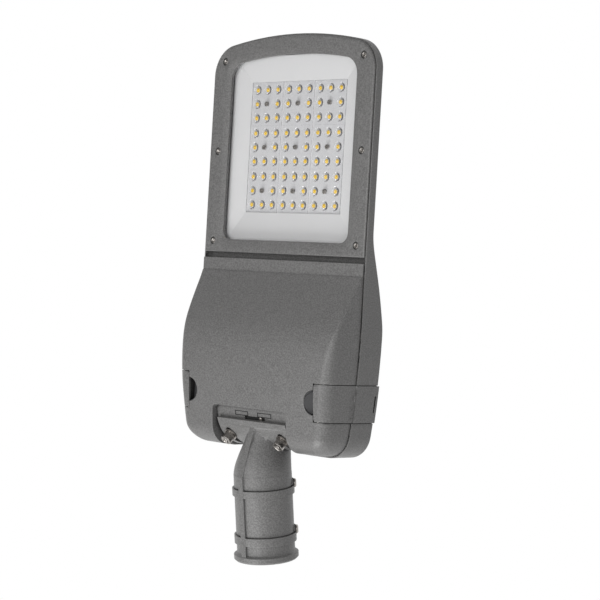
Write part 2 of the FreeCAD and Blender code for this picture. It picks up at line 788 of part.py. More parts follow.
def make_reflector():
    """Four white sheet panels, bent as one tray, from the window's edge down to the LED plates."""
    z0 = gasket_z + gasket_t + glass_t + seat_gap
    z1 = led_plane_z - reflector_t
    hw = win_half_w + reflector_lip
    y0, y1 = win_front_y, win_rear_y + 1.2
    edge = reflector_in + 0.4

    def ring(xo, yo0, yo1, z):
        pts = [V(xo, yo0, z), V(xo, yo1, z), V(-xo, yo1, z), V(-xo, yo0, z)]
        return Part.makePolygon(pts + [pts[0]])

    outer = Part.makeLoft([ring(hw, y0, y1, z0), ring(edge, -edge, edge, z1 + reflector_t)], True, True)
    inner = Part.makeLoft([ring(hw - 1.2, y0 + 1.2, y1 - 1.2, z0 - 0.001),
                           ring(edge - 0.4, -edge + 0.4, edge - 0.4, z1 + reflector_t + 0.001)], True, True)
    return outer.cut(inner)


def lens_spots(cx, cy):
    return [(cx + i * led_pitch, cy + j * led_pitch) for j in (-1, 0, 1) for i in (-1, 0, 1)
            if (i, j) != (0, 0)]


def make_lens_plate(cx, cy):
    """Moulded plate with eight stepped domes, a chip pocket under each and a screw hole."""
    h = plate_side / 2
    body = box(cx - h, cx + h, cy - h, cy + h, led_plane_z, led_plane_z + plate_t)
    steps = ((dome_r, 0.0), (0.86 * dome_r, 0.6 * dome_h), (0.45 * dome_r, dome_h))
    cuts = [rod(m3_r + 0.2, V(cx, cy, led_plane_z - 1.0), Z_AXIS, 5.0)]
    for x, y in lens_spots(cx, cy):
        rings = []
        for r, rise in steps:
            pts = [V(x + r * math.cos(a), y + r * math.sin(a), led_plane_z - rise)
                   for a in [math.radians(45 * k + 22.5) for k in range(dome_sides + 1)]]
            rings.append(Part.makePolygon(pts))
        body = body.fuse(Part.makeLoft(rings, True, True))
        c = chip_pocket / 2
        z = led_plane_z + plate_t
        cuts.append(box(x - c, x + c, y - c, y + c, z - chip_t - 0.4, z + 1.0))
    return carve(body.removeSplitter(), cuts)


def make_led_chips():
    z = led_plane_z + plate_t
    c = chip_side / 2
    return group([box(x - c, x + c, y - c, y + c, z - chip_t, z)
                  for cx, cy in plate_centres() for x, y in lens_spots(cx, cy)])


def make_led_board():
    z = led_plane_z + plate_t
    body = box(-board_half, board_half, -board_half, board_half, z, z + board_t)
    return body.cut(group([rod(m3_r, V(x, y, z - 1), Z_AXIS, 5.0) for x, y in plate_centres()]))


def make_plate_screws():
    out = []
    z = led_plane_z - m3_head_h
    for x, y in plate_centres():
        head = rod(m3_head_r, V(x, y, z), Z_AXIS, m3_head_h)
        shank = rod(m3_r, V(x, y, z + 1.0), Z_AXIS, m3_len + 1.0)
        out.append(head.fuse(shank).cut(hex_hole(V(x, y, z - 1.0), Z_AXIS, 2.0, 1.9)))
    return group(out)


def make_tilt_bolts():
    out = []
    d = tilt_dir(bolt_angle)
    seat = saddle_r + washer_gap + washer_t + spring_washer_t
    for side in (1, -1):
        x = side * slot_x
        shank = rod(m8_r, at_tilt(seat + 1.0 - m8_len, bolt_angle, x), d, m8_len)
        head = rod(m8_head_r, at_tilt(seat, bolt_angle, x), d, m8_head_h)
        rim = [e for e in head.Edges if e.Closed and e.CenterOfMass.distanceToPoint(
            at_tilt(seat + m8_head_h, bolt_angle, x)) < 0.1]
        head = head.makeChamfer(0.6, rim)
        socket = hex_hole(at_tilt(seat + m8_head_h - 4.0, bolt_angle, x), d, 6.0, 6.0)
        out.append(head.fuse(shank).cut(socket))
    return group(out)


def make_washers(radius, thick, base):
    d = tilt_dir(bolt_angle)
    out = []
    for side in (1, -1):
        p = at_tilt(base, bolt_angle, side * slot_x)
        ring = rod(radius, p, d, thick)
        out.append(ring.cut(rod(m8_r, at_tilt(base - 1.0, bolt_angle, side * slot_x), d, thick + 2.0)))
    return group(out)


def pin_rod(side, radius):
    x0 = arm_x[0] - knuckle_gap - knuckle_w
    x1 = arm_x[1] + knuckle_gap + knuckle_w
    start = V(x0 if side > 0 else -x1, hinge_y, hinge_z)
    return rod(radius, start, X_AXIS, x1 - x0)


def make_hinge_pins():
    return group([pin_rod(side, hinge_pin_r) for side in (1, -1)])


def notch_block(grow):
    """U-shaped block that stands for the notch round the saddle."""
    x = notch_half + grow
    block = box(-x, x, notch_y - grow, rear_y + 30.0, -80.0, cover_rim_z + 5.0)
    ends = []
    for e in block.Edges:
        b = e.BoundBox
        if b.ZMax - b.ZMin > 10.0 and abs(b.YMin - notch_y + grow) < 1e-6:
            ends.append(e)
    return block.makeFillet(notch_corner_r + grow, ends)


def make_gear_cover():
    outer = cover_bulge(0.0, cover_rim_z)
    inner = cover_bulge(-cover_t, cover_rim_z + 1.0)
    strip = prism(plan_wire(0.0, front=strip_y, rear=crease_y + 3.0), 0.0, cover_rim_z)
    strip = strip.cut(box(-half_width + cover_t, half_width - cover_t, crease_y + 1.0, crease_y + 5.0, -1, 5))
    shell = outer.cut(inner)
    shell = shell.fuse(strip)
    walls = outer.common(notch_block(notch_wall))
    zone_in = latch_zone(latch_gap + latch_pocket_wall, cover_rim_z)
    deep = cover_bulge(-(latch_t + 0.4 + latch_pocket_wall), cover_rim_z + 1.0)
    shelf = outer.common(zone_in).cut(deep)
    scoop = scoop_form()
    shell = carve(fuse([shell, walls, shelf, mirror_x(shelf)]), [scoop, mirror_x(scoop)])
    trough = outer.common(swing_form(latch_trough_wall, latch_gap + latch_pocket_wall))
    shell = fuse([shell, trough, mirror_x(trough)])
    arms = []
    for side in (1, -1):
        x0 = arm_x[0] if side > 0 else -arm_x[1]
        w = arm_x[1] - arm_x[0]
        barrel = rod(hinge_barrel_r, V(x0, hinge_y, hinge_z), X_AXIS, w)
        web = box(x0, x0 + w, hinge_y - hinge_barrel_r, hinge_y + hinge_barrel_r - 0.2, 1.0, hinge_z)
        arms.append(barrel.fuse(web))
    shell = fuse([shell] + arms)
    low, high = latch_form(latch_t + 0.4)
    pocket = latch_zone(latch_gap, cover_rim_z + 3.0).cut(low)
    pocket = pocket.fuse(swing_form(0.0, latch_gap))
    cuts = [notch_block(0.0), pocket, mirror_x(pocket)]
    cuts.append(rod(boss_r + boss_gap, V(-boss_half - 1.0, tilt_y, tilt_z), X_AXIS, 2 * boss_half + 2.0))
    shell = carve(shell, cuts)
    x, z = latch_axis
    k = latch_knuckle_r
    web = box(x - k + 0.4, x + k - 0.4, latch_y - latch_half + latch_lug + 0.5,
              latch_y + latch_half - latch_lug - 0.5, z, z + latch_web_h)
    knuckle = web.fuse(latch_rod(k, -latch_lug - 0.5))
    shell = fuse([shell, knuckle, mirror_x(knuckle)])
    cuts = [pin_rod(side, hinge_pin_r + hinge_fit) for side in (1, -1)]
    pin = latch_rod(latch_pin_r, 4.0)
    return carve(shell, cuts + [pin, mirror_x(pin)])


def latch_rod(radius, beyond):
    """Rod along the right-hand latch's pin, reaching past both ends of the latch."""
    x, z = latch_axis
    return rod(radius, V(x, latch_y - latch_half - beyond, z), Y_AXIS, 2 * (latch_half + beyond))


def swing_form(wall, beyond):
    """Round room that the right-hand latch's short end sweeps as it opens, grown by wall."""
    x, z = latch_axis
    y0, y1 = latch_y - latch_half - beyond, latch_y + latch_half + beyond
    steps = 6
    rim = []
    for k in range(steps + 1):
        y = y0 + (y1 - y0) * k / steps
        skin = ramp(depth_line, y) - 0.85 * cover_crown
        reach = math.hypot(x - latch_edge_x, skin + z)
        rim.append(V(x + reach + latch_clear + wall, y, z))
    loop = [V(x, y0, z)] + rim + [V(x, y1, z), V(x, y0, z)]
    return Part.Face(Part.makePolygon(loop)).revolve(V(x, 0, z), Y_AXIS, 360.0)


def scoop_form():
    """Half-moon finger scoop in the cover beside the latch's edge."""
    z = -ramp(depth_line, latch_y)
    ball = Part.makeCone(scoop_r - 4.0, scoop_r + 1.0, scoop_deep + 1.0, V(scoop_x, latch_y, z + scoop_deep - 1.0),
                         V(0, 0, -1))
    return ball.common(box(0, latch_edge_x, latch_y - 20, latch_y + 20, -60, 0))


def make_latch():
    """Right-hand snap latch that follows the cover's corner and the housing's side."""
    low_out = cover_bulge(0.0, seam_z)
    high_out = prism(plan_wire(rim_step + 0.6, front=crease_y + 20.0), seam_z - 0.3, gear_h)
    low_in, high_in = latch_form(latch_t)
    zone = latch_zone(0.0, gear_h)
    skin_low = low_out.common(zone).cut(low_in)
    skin_high = high_out.common(zone).cut(high_in)
    body = skin_low.fuse(skin_high)
    x, z = latch_axis
    body = body.cut(latch_rod(latch_knuckle_r + latch_knuckle_gap, 1.0))
    for y0 in (latch_y - latch_half, latch_y + latch_half - latch_lug):
        lug = rod(latch_barrel_r, V(x, y0, z), Y_AXIS, latch_lug)
        foot = box(x - latch_barrel_r + 1.0, x + latch_barrel_r - 1.0, y0, y0 + latch_lug, -60.0, z)
        body = body.fuse(lug.fuse(foot.common(low_out)))
    slot_y = (latch_y - latch_slot_half, latch_y + latch_slot_half)
    slot = box(half_width - 20.0, half_width + 20.0, *slot_y, latch_slot_z - latch_slot_r,
               latch_slot_z + latch_slot_r)
    ends = [rod(latch_slot_r, V(half_width - 20.0, y, latch_slot_z), X_AXIS, 40.0) for y in slot_y]
    body = carve(body, [slot] + ends)
    return body.cut(rod(latch_pin_r + hinge_fit, V(x, latch_y - 30.0, z), Y_AXIS, 60.0)).removeSplitter()


def make_latch_pins():
    pin = latch_rod(latch_pin_r, 4.0)
    return group([pin, mirror_x(pin)])


def make_gear_tray():
    x0, x1, y0, y1 = tray_box
    plate = box(x0, x1, y0, y1, tray_z, tray_z + tray_t)
    return plate.cut(group([rod(m3_r, V(x, y, tray_z - 1), Z_AXIS, 5.0) for x, y in tray_spots()]))


def make_tray_screws():
    out = []
    for x, y in tray_spots():
        head = rod(m3_head_r, V(x, y, tray_z - m3_head_h), Z_AXIS, m3_head_h)
        out.append(head.fuse(rod(m3_r, V(x, y, tray_z - 0.5), Z_AXIS, m3_len)))
    return group(out)


def block_on_tray(bounds, height, edge):
    x0, x1, y0, y1 = bounds
    body = box(x0, x1, y0, y1, tray_z - height, tray_z)
    return body.makeChamfer(edge, loop_edges(body, tray_z - height))


def make_terminal_block():
    body = block_on_tray(terminal_box, terminal_h, 1.0)
    x0, x1, y0, y1 = terminal_box
    n = 5
    w = (x1 - x0) / n
    for k in range(n):
        x = x0 + (k + 0.5) * w
        body = body.cut(rod(2.4, V(x, y0 + 6.0, tray_z - terminal_h - 1.0), Z_AXIS, 6.0))
        body = body.cut(box(x - 2.6, x + 2.6, y1 - 4.0, y1 + 1.0, tray_z - 12.0, tray_z - 5.0))
    return body


def make_cable_clamp():
    x0, x1, y0, y1 = clamp_box
    body = box(x0, x1, y0, y1, tray_z - clamp_h, tray_z)
    return body.cut(rod(5.0, V(0, y0 - 1.0, tray_z), Y_AXIS, y1 - y0 + 2.0))


def make_grommet():
    a0, a1 = cable_angles
    lip = 0.3
    body = tilt_sector(boss_r - boss_t, boss_r - 2.0, a0 + lip, a1 - lip, cable_window[0] + 0.1,
                       cable_window[1] - 0.1)
    mid = 0.5 * (cable_window[0] + cable_window[1])
    am = 0.5 * (a0 + a1)
    return body.cut(rod(5.5, at_tilt(boss_r - boss_t - 3.0, am, mid), tilt_dir(am), 12.0))


def main():
    os.makedirs("parts", exist_ok=True)
    seat = saddle_r + washer_gap
    latch = make_latch()
    nodes = {
        "spigot": make_spigot(),
        "pole_clamp_screws": make_clamp_screws(),
        "housing": make_housing(),
        "lens_frame": make_lens_frame(),
        "glass_gasket": make_glass_gasket(),
        "glass": make_glass(),
        "frame_screws": make_frame_screws(),
        "screw_seals": make_screw_seals(),
        "reflector": make_reflector(),
        "led_board": make_led_board(),
        "led_chips": make_led_chips(),
        "lens_plate_screws": make_plate_screws(),
        "tilt_bolts": make_tilt_bolts(),
        "tilt_washers": make_washers(washer_r, washer_t, seat),
        "spring_washers": make_washers(spring_washer_r, spring_washer_t, seat + washer_t),
        "entry_grommet": make_grommet(),
        "gear_cover": make_gear_cover(),
        "cover_gasket": gasket_ring(),
        "cover_hinge_pins": make_hinge_pins(),
        "latch_right": latch,
        "latch_left": mirror_x(latch),
        "latch_pins": make_latch_pins(),
        "gear_tray": make_gear_tray(),
        "tray_screws": make_tray_screws(),
        "driver": block_on_tray(driver_box, driver_h, driver_edge),
        "surge_protector": block_on_tray(surge_box, surge_h, 1.5),
        "terminal_block": make_terminal_block(),
        "cable_clamp": make_cable_clamp(),
    }
    for k, (x, y) in enumerate(plate_centres()):
        nodes["lens_plate_%d" % (k + 1)] = make_lens_plate(x, y)
    for name, shape in nodes.items():
        shape.translate(mouth * -1.0)
        shape.exportStep("parts/%s.step" % name)
        b = shape.BoundBox
        print("%-18s solids %2d valid %s vol %9.0f  x %6.1f %6.1f  y %7.1f %7.1f  z %6.1f %6.1f" % (
            name, len(shape.Solids), shape.isValid(), shape.Volume, b.XMin, b.XMax, b.YMin, b.YMax,
            b.ZMin, b.ZMax))


main()
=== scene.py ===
"""LED street light head, dressed: castings, window optics, seals, gear, fasteners and stage."""

import bmesh
import bpy
import json
import math
from bpy.props import FloatProperty, FloatVectorProperty, IntProperty, PointerProperty
from bpy.types import Operator, Panel, PropertyGroup
from mathutils import Matrix, Vector

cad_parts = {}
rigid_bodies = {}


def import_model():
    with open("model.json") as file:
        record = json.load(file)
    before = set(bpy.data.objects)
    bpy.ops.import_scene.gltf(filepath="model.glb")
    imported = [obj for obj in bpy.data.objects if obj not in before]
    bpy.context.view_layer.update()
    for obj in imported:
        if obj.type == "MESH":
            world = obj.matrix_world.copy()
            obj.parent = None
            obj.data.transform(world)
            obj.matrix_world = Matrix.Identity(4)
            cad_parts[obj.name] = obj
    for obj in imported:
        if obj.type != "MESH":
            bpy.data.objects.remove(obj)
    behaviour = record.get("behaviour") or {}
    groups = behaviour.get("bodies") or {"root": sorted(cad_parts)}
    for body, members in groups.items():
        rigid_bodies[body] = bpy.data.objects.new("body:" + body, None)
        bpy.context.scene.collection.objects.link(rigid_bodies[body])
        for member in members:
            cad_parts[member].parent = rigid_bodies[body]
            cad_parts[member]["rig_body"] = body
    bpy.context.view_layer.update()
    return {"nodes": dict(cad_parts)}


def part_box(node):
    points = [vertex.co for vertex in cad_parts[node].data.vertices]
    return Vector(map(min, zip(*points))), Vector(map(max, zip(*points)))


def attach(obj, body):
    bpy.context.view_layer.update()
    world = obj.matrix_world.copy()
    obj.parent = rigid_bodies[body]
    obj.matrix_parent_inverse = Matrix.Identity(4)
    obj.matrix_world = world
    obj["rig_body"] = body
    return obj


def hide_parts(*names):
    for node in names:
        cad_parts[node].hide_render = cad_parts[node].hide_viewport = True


bl_info = {
    "name": "Street Light Head",
    "version": (1, 0, 0),
    "blender": (4, 5, 0),
    "location": "3D View > Sidebar > Street Light",
    "description": "Dresses the packed street light head with finishes, lenses and a stage",
    "category": "Object",
}

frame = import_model()
NODES = frame["nodes"]
MM = 0.001

# Centre of the spigot's mouth, seen from the middle of the LED array on the window frame's face
MOUTH = Vector((0.0, 474.653, 5.436))

# Largest angle in degrees between two faces that are shaded as one surface
CAST_ANGLE = 28.0
SPIGOT_ANGLE = 16.0
MOULDED_ANGLE = 35.0
DOME_ANGLE = 60.0

# Distances in metres under which points count as one, and edges as nothing
WELD = 2e-6
PLATE_WELD = 1e-6
SLIVER = 1e-7
LEVEL_GAP = 1e-6
BORDER_GAP = 1e-5

# Shader mask ranges: the input value that gives 0 and the one that gives 1
FULL = (0.0, 1.0)
GRAIN_RANGE = (0.35, 0.65)
CLOUD_RANGE = (0.3, 0.7)
MARK_RANGE = (0.3, 0.7)
PAINTED_SHADE_RANGE = (0.62, 0.25)
PAINTED_HIGHLIGHT_RANGE = (0.98, 0.80)

# Colour factors of a grained skin: slow clouds, a painted highlight on sharp edges and painted
# shade in narrow gaps
CLOUD_DARK, CLOUD_LIGHT = 0.96, 1.04
CLOUD_SHARE = (0.2, 0.4)
EDGE_PAINTED_HIGHLIGHT = 1.6
GAP_PAINTED_SHADE = 0.15
SKIN_SWING = 0.05

# Colour factors and roughness swing of turned metal, and the radius of its edges
MARK_DARK, MARK_LIGHT = 0.88, 1.08
METAL_SWING = (-0.06, 0.08)
METAL_EDGE = 0.0002
GLASS_SWING = 0.02

# Noise, and samples of the two nodes that look round a point
NOISE_ROUGHNESS = 0.55
FINE_DETAIL, CLOUD_DETAIL = 2.0, 3.0
MARK_STRETCH = (0.12, 1.0, 1.0)
GAP_SAMPLES = 8
EDGE_SAMPLES = 6

# Sockets of a colour Mix node
MIX_FIRST, MIX_SECOND, MIX_RESULT = 6, 7, 2

# Grained skins: colour, roughness, waves per metre, bump height in metres, contrast
SKINS = {
    # Painted scoop shade: near black for the shade that falls in the finger scoops.
    "Black moulded cup": ((0.035, 0.035, 0.037), 0.5, 900.0, 0.00006, 0.12),
    # Painted crescent shade: near black half rings beside the LED chips.
    "Dull tin": ((0.05, 0.05, 0.055), 0.45, 1800.0, 0.00002, 0.15),
    "Black silicone rubber": ((0.022, 0.022, 0.022), 0.62, 1200.0, 0.00006, 0.2),
    # Painted seam shade: near black lines in the snap tab seams.
    "Black rubber seam": ((0.02, 0.02, 0.02), 0.6, 1200.0, 0.00002, 0.1),
    "Off-white driver case": ((0.70, 0.70, 0.68), 0.5, 900.0, 0.00006, 0.05),
    "Black moulding": ((0.04, 0.04, 0.043), 0.5, 900.0, 0.00006, 0.12),
    "Grey moulding": ((0.55, 0.55, 0.53), 0.5, 900.0, 0.00005, 0.06),
}

# Grained finishes in a colour of the settings: roughness, waves per metre, bump height, contrast
TINTED = {
    "Satin white panel": (0.42, 700.0, 0.00002, 0.015),
    "White solder mask": (0.38, 500.0, 0.00001, 0.02),
    "Yellow phosphor": (0.35, 2500.0, 0.00002, 0.08),
    "Pale floor": (0.7, 60.0, 0.0002, 0.01),
}
MASK_SHADE = 0.97

# Metals in a colour of the settings: roughness, waves per metre, bump height in metres
METALS = {
    "Stainless steel": (0.28, 1500.0, 0.00002),
    "Bright screw": (0.25, 1500.0, 0.00001),
    "Zinc plated sheet": (0.38, 400.0, 0.00001),
}
BRIGHT_SHADE = 2.0

# Clear materials: tint, index of refraction, roughness, waves per metre, bump height in metres
CLEARS = {
    "Clear acrylic lens": ((0.985, 0.985, 0.99), 1.49, 0.01, 300.0, 0.00001),
    "Toughened glass": ((0.985, 0.985, 0.985), 1.45, 0.0, 40.0, 0.00001),
}

# Castings: node, piece, shading angle
CASTINGS = (
    ("housing", "housing_casting", CAST_ANGLE),
    ("lens_frame", "window_frame", CAST_ANGLE),
    ("gear_cover", "gear_cover_casting", CAST_ANGLE),
    ("latch_right", "latch_right_flap", CAST_ANGLE),
    ("latch_left", "latch_left_flap", CAST_ANGLE),
    ("spigot", "spigot_casting", SPIGOT_ANGLE),
)
SEALS = (
    ("glass_gasket", "glass_seal"),
    ("cover_gasket", "cover_seal"),
    ("entry_grommet", "cable_grommet"),
    ("screw_seals", "screw_seal_rings"),
)
FASTENERS = ("pole_clamp_screws", "frame_screws", "lens_plate_screws", "tilt_bolts", "tilt_washers",
             "spring_washers", "cover_hinge_pins", "latch_pins", "tray_screws")

# Finger scoop in mm: centre, radius, the cover's edge, lowest floor, floor slope, end of the cup
SCOOP = {"x": 100.5, "y": 287.3, "r": 14.0, "edge": 101.0, "z": -37.2, "slope": 0.53, "end": 97.2}
SCOOP_TOP = -60.0
SCOOP_SIDES = 64
CUP_GAP = 0.05
CUP_LIFT = 0.02
CUP_WALL = 0.0010

# Lens plates, in metres: the screw's hole, and the dimple in the back behind each dome
LENS_PLATES = 9
PLATE_GAP = 0.00006
HOLE_R = 0.0017
DIMPLE_R = 0.0009
DIMPLE_RISE = 0.0001
DIMPLE_STEPS = 1
DOME_STEPS = 5
DOME_TIP = 0.6

# The nine cells of a lens plate, in pitches from its screw
CELLS = [(i, j) for i in (-1, 0, 1) for j in (-1, 0, 1)]

# LED packages, in metres: square block, yellow dome, and a dark half ring of painted shade beside
# each
PACKAGE_SIDE = 0.0034
PACKAGE_H = 0.0007
PACKAGE_BEVEL = 0.00015
PHOSPHOR_H = 0.0003
PHOSPHOR_TOP = 0.7
PHOSPHOR_SIDES = 12
SHADE_CRESCENT_IN, SHADE_CRESCENT_OUT = 0.0023, 0.0044
SHADE_CRESCENT_HALF_TURN = 66.0
SHADE_CRESCENT_STEPS = 9
SHADE_CRESCENT_T = 0.00008
SHADE_CRESCENT_DROP = 0.0001

# Tilt boss in mm, and what lies on it: painted shade lines in the snap tab seams and the screw in
# the window
TILT_AXIS = (302.1, 10.0)
BOSS_R = 40.0
TABS = (("tab_seam_left", -30.0, -8.5), ("tab_seam_right", 6.5, 29.0))
TAB_FROM, TAB_TO = 6.0, 13.4
TAB_LINE = 1.0
TAB_LIFT = 0.15
TAB_CUTS = 3
SCREW_X = 10.7
SCREW_AT = 16.2
SCREW_FOOT, SCREW_TIP = -2.2, 0.2
SCREW_R = 0.0021
SCREW_RIM = 0.0022
SCREW_BEVEL = 0.0005
SCREW_BEVEL_STEPS = 3
SCREW_SIDES = 24

# Stage: floor in metres, lamp directions, and the camera's own axes
FLOOR_HALF = 12.0
FLOOR_Y = -0.3
LAMPS = (
    ("front_lamp", "front", (0.0, 0.0, -1.0)),
    ("pole_lamp", "pole", (-0.03, 0.85, -0.52)),
    ("side_lamp", "side", (0.70, 0.12, -0.70)),
)
LIT_POINT = (0.0, 60.0, 0.0)
CAMERA_TURN = ((0.7126, -0.0471, 0.7000), (-0.0579, -0.9983, -0.0083), (0.6992, -0.0346, -0.7141))
SENSOR_WIDTH = 36.0
CLIP_START, CLIP_END = 0.05, 60.0


def at(x, y, z):
    """A point given in mm from the middle of the LED array, in the shared frame."""
    return (Vector((x, y, z)) - MOUTH) * MM


class CoatSettings(PropertyGroup):
    colour: FloatVectorProperty(
        name="Coat colour", description="Powder coat of the castings", subtype="COLOR",
        size=3, min=0.0, max=1.0, default=(0.160, 0.158, 0.156))
    roughness: FloatProperty(
        name="Coat roughness", description="Roughness of the powder coat", subtype="FACTOR",
        min=0.0, max=1.0, default=0.44)
    grain: FloatProperty(
        name="Grain size", description="Width of one grain of the coat's texture", unit="LENGTH",
        min=0.0001, default=0.0016)
    grain_height: FloatProperty(
        name="Grain height", description="Height of the coat's texture", unit="LENGTH",
        min=0.0, default=0.00022)
    gloss: FloatProperty(
        name="Coat gloss", description="Specular level of the powder coat", subtype="FACTOR",
        min=0.0, max=1.0, default=0.6)
    speckle: FloatProperty(
        name="Speckle", description="How much lighter and darker the grains of the coat are",
        subtype="FACTOR", min=0.0, max=1.0, default=0.36)
    # The edge radius also sets how wide the painted highlight along sharp edges is.
    edge: FloatProperty(
        name="Edge radius", description="How far the coat rounds a sharp casting edge",
        unit="LENGTH", min=0.0, default=0.0008)


class OpticsSettings(PropertyGroup):
    dome_radius: FloatProperty(
        name="Dome radius", description="Radius of one lens dome", unit="LENGTH", default=0.0057)
    dome_height: FloatProperty(
        name="Dome height", description="Height of one lens dome", unit="LENGTH", default=0.0041)
    pitch: FloatProperty(
        name="Lens pitch", description="Distance between neighbouring domes", unit="LENGTH",
        default=0.0165)
    plate: FloatProperty(
        name="Plate thickness", description="Thickness of a lens plate", unit="LENGTH",
        default=0.0015)
    facets: IntProperty(
        name="Dome sides", description="Vertices round one dome, a multiple of eight", min=8,
        default=24)
    panel: FloatVectorProperty(
        name="Panel colour", description="White panels round the LED plates", subtype="COLOR",
        size=3, min=0.0, max=1.0, default=(0.75, 0.75, 0.755))
    phosphor: FloatProperty(
        name="Phosphor radius", description="Radius of the yellow spot on one LED chip",
        unit="LENGTH", default=0.0018)
    chip: FloatVectorProperty(
        name="Chip colour", description="Phosphor of the LED chips", subtype="COLOR",
        size=3, min=0.0, max=1.0, default=(0.95, 0.60, 0.012))


class MetalSettings(PropertyGroup):
    steel: FloatVectorProperty(
        name="Steel colour", description="Stainless screws and washers", subtype="COLOR",
        size=3, min=0.0, max=1.0, default=(0.36, 0.34, 0.32))
    zinc: FloatVectorProperty(
        name="Zinc colour", description="Plated sheet of the gear tray", subtype="COLOR",
        size=3, min=0.0, max=1.0, default=(0.55, 0.56, 0.57))


class StageSettings(PropertyGroup):
    camera: FloatVectorProperty(
        name="Camera", description="Where the camera stands", subtype="TRANSLATION", unit="LENGTH",
        size=3, default=(1.6273, -0.3180, -1.6297))
    lens: FloatProperty(
        name="Lens", description="Focal length in mm", default=120.0)
    front: FloatProperty(
        name="Front light", description="Power of the soft light that faces the window",
        unit="POWER", default=8.4)
    pole: FloatProperty(
        name="Pole light", description="Power of the soft light on the pole's side",
        unit="POWER", default=13.5)
    side: FloatProperty(
        name="Side light", description="Power of the soft light on the camera's side",
        unit="POWER", default=3.8)
    lamp_size: FloatProperty(
        name="Lamp size", description="Side of each square lamp", unit="LENGTH", default=0.9)
    lamp_distance: FloatProperty(
        name="Lamp distance", description="Distance of each lamp from the head", unit="LENGTH",
        default=1.5)
    ambient: FloatProperty(
        name="Ambient", description="Strength of the even light all round", subtype="FACTOR",
        min=0.0, default=0.30)
    floor_colour: FloatVectorProperty(
        name="Floor colour", description="Plain pale floor", subtype="COLOR",
        size=3, min=0.0, max=1.0, default=(0.80, 0.80, 0.80))
    floor_drop: FloatProperty(
        name="Floor drop", description="How far below the pole's mouth the floor lies",
        unit="LENGTH", default=1.95)


# Shader node helpers

def new_group(name, inputs, outputs):
    """An empty shader node group with named inputs (name, default) and outputs (name, kind)."""
    tree = bpy.data.node_groups.new(name, "ShaderNodeTree")
    for label, value in inputs:
        socket = tree.interface.new_socket(label, in_out="INPUT", socket_type="NodeSocketFloat")
        socket.default_value = value
    for label, kind in outputs:
        tree.interface.new_socket(label, in_out="OUTPUT", socket_type=kind)
    return tree, tree.nodes.new("NodeGroupInput"), tree.nodes.new("NodeGroupOutput")


def noise(tree, coords, scale, detail):
    """A noise texture in object space; scale is a socket with a number of waves per metre."""
    n = tree.nodes.new("ShaderNodeTexNoise")
    n.inputs["Detail"].default_value = detail
    n.inputs["Roughness"].default_value = NOISE_ROUGHNESS
    tree.links.new(coords, n.inputs["Vector"])
    tree.links.new(scale, n.inputs["Scale"])
    return n.outputs["Fac"]


def remap(tree, value, given, wanted=FULL):
    """A socket whose value runs over the wanted range while value runs over the given one."""
    m = tree.nodes.new("ShaderNodeMapRange")
    for label, number in zip(("From Min", "From Max", "To Min", "To Max"), (*given, *wanted)):
        m.inputs[label].default_value = number
    tree.links.new(value, m.inputs["Value"])
    return m.outputs["Result"]


def blend_colour(tree, mask, first, second):
    """A mix of two colours, each a socket or three numbers; the mask at 1 shows the second."""
    m = tree.nodes.new("ShaderNodeMix")
    m.data_type = "RGBA"
    tree.links.new(mask, m.inputs["Factor"])
    for socket, value in ((m.inputs[MIX_FIRST], first), (m.inputs[MIX_SECOND], second)):
        if isinstance(value, bpy.types.NodeSocket):
            tree.links.new(value, socket)
        else:
            socket.default_value = (*value, 1.0)
    return m.outputs[MIX_RESULT]


def maths(tree, operation, first, second):
    """One calculation on a socket and a second socket or a number."""
    m = tree.nodes.new("ShaderNodeMath")
    m.operation = operation
    tree.links.new(first, m.inputs[0])
    if isinstance(second, bpy.types.NodeSocket):
        tree.links.new(second, m.inputs[1])
    else:
        m.inputs[1].default_value = second
    return m.outputs[0]


def mix_shaders(tree, mask, first, second, output):
    """Mixes two shaders into the surface of the output node."""
    mix = tree.nodes.new("ShaderNodeMixShader")
    for number, socket in enumerate((mask, first, second)):
        tree.links.new(socket, mix.inputs[number])
    tree.links.new(mix.outputs[0], tree.nodes[output].inputs["Surface"])


def grain_group():
    """Fine grain of a sprayed or moulded skin: a mask, a height and a slow cloudiness."""
    tree, source, sink = new_group(
        "Fine Grain", (("Waves per metre", 900.0), ("Cloud waves", 18.0)),
        (("Mask", "NodeSocketFloat"), ("Height", "NodeSocketFloat"), ("Cloud", "NodeSocketFloat")))
    coords = tree.nodes.new("ShaderNodeTexCoord").outputs["Object"]
    fine = noise(tree, coords, source.outputs["Waves per metre"], FINE_DETAIL)
    tree.links.new(remap(tree, fine, GRAIN_RANGE), sink.inputs["Mask"])
    tree.links.new(fine, sink.inputs["Height"])
    slow = noise(tree, coords, source.outputs["Cloud waves"], CLOUD_DETAIL)
    tree.links.new(remap(tree, slow, CLOUD_RANGE), sink.inputs["Cloud"])


def turned_group():
    """Fine turning marks on metal: a mask and a height."""
    tree, source, sink = new_group(
        "Turned Metal", (("Waves per metre", 1500.0),),
        (("Mask", "NodeSocketFloat"), ("Height", "NodeSocketFloat")))
    coords = tree.nodes.new("ShaderNodeTexCoord").outputs["Object"]
    squeeze = tree.nodes.new("ShaderNodeMapping")
    squeeze.inputs["Scale"].default_value = MARK_STRETCH
    tree.links.new(coords, squeeze.inputs["Vector"])
    marks = noise(tree, squeeze.outputs["Vector"], source.outputs["Waves per metre"], FINE_DETAIL)
    tree.links.new(remap(tree, marks, MARK_RANGE), sink.inputs["Mask"])
    tree.links.new(marks, sink.inputs["Height"])


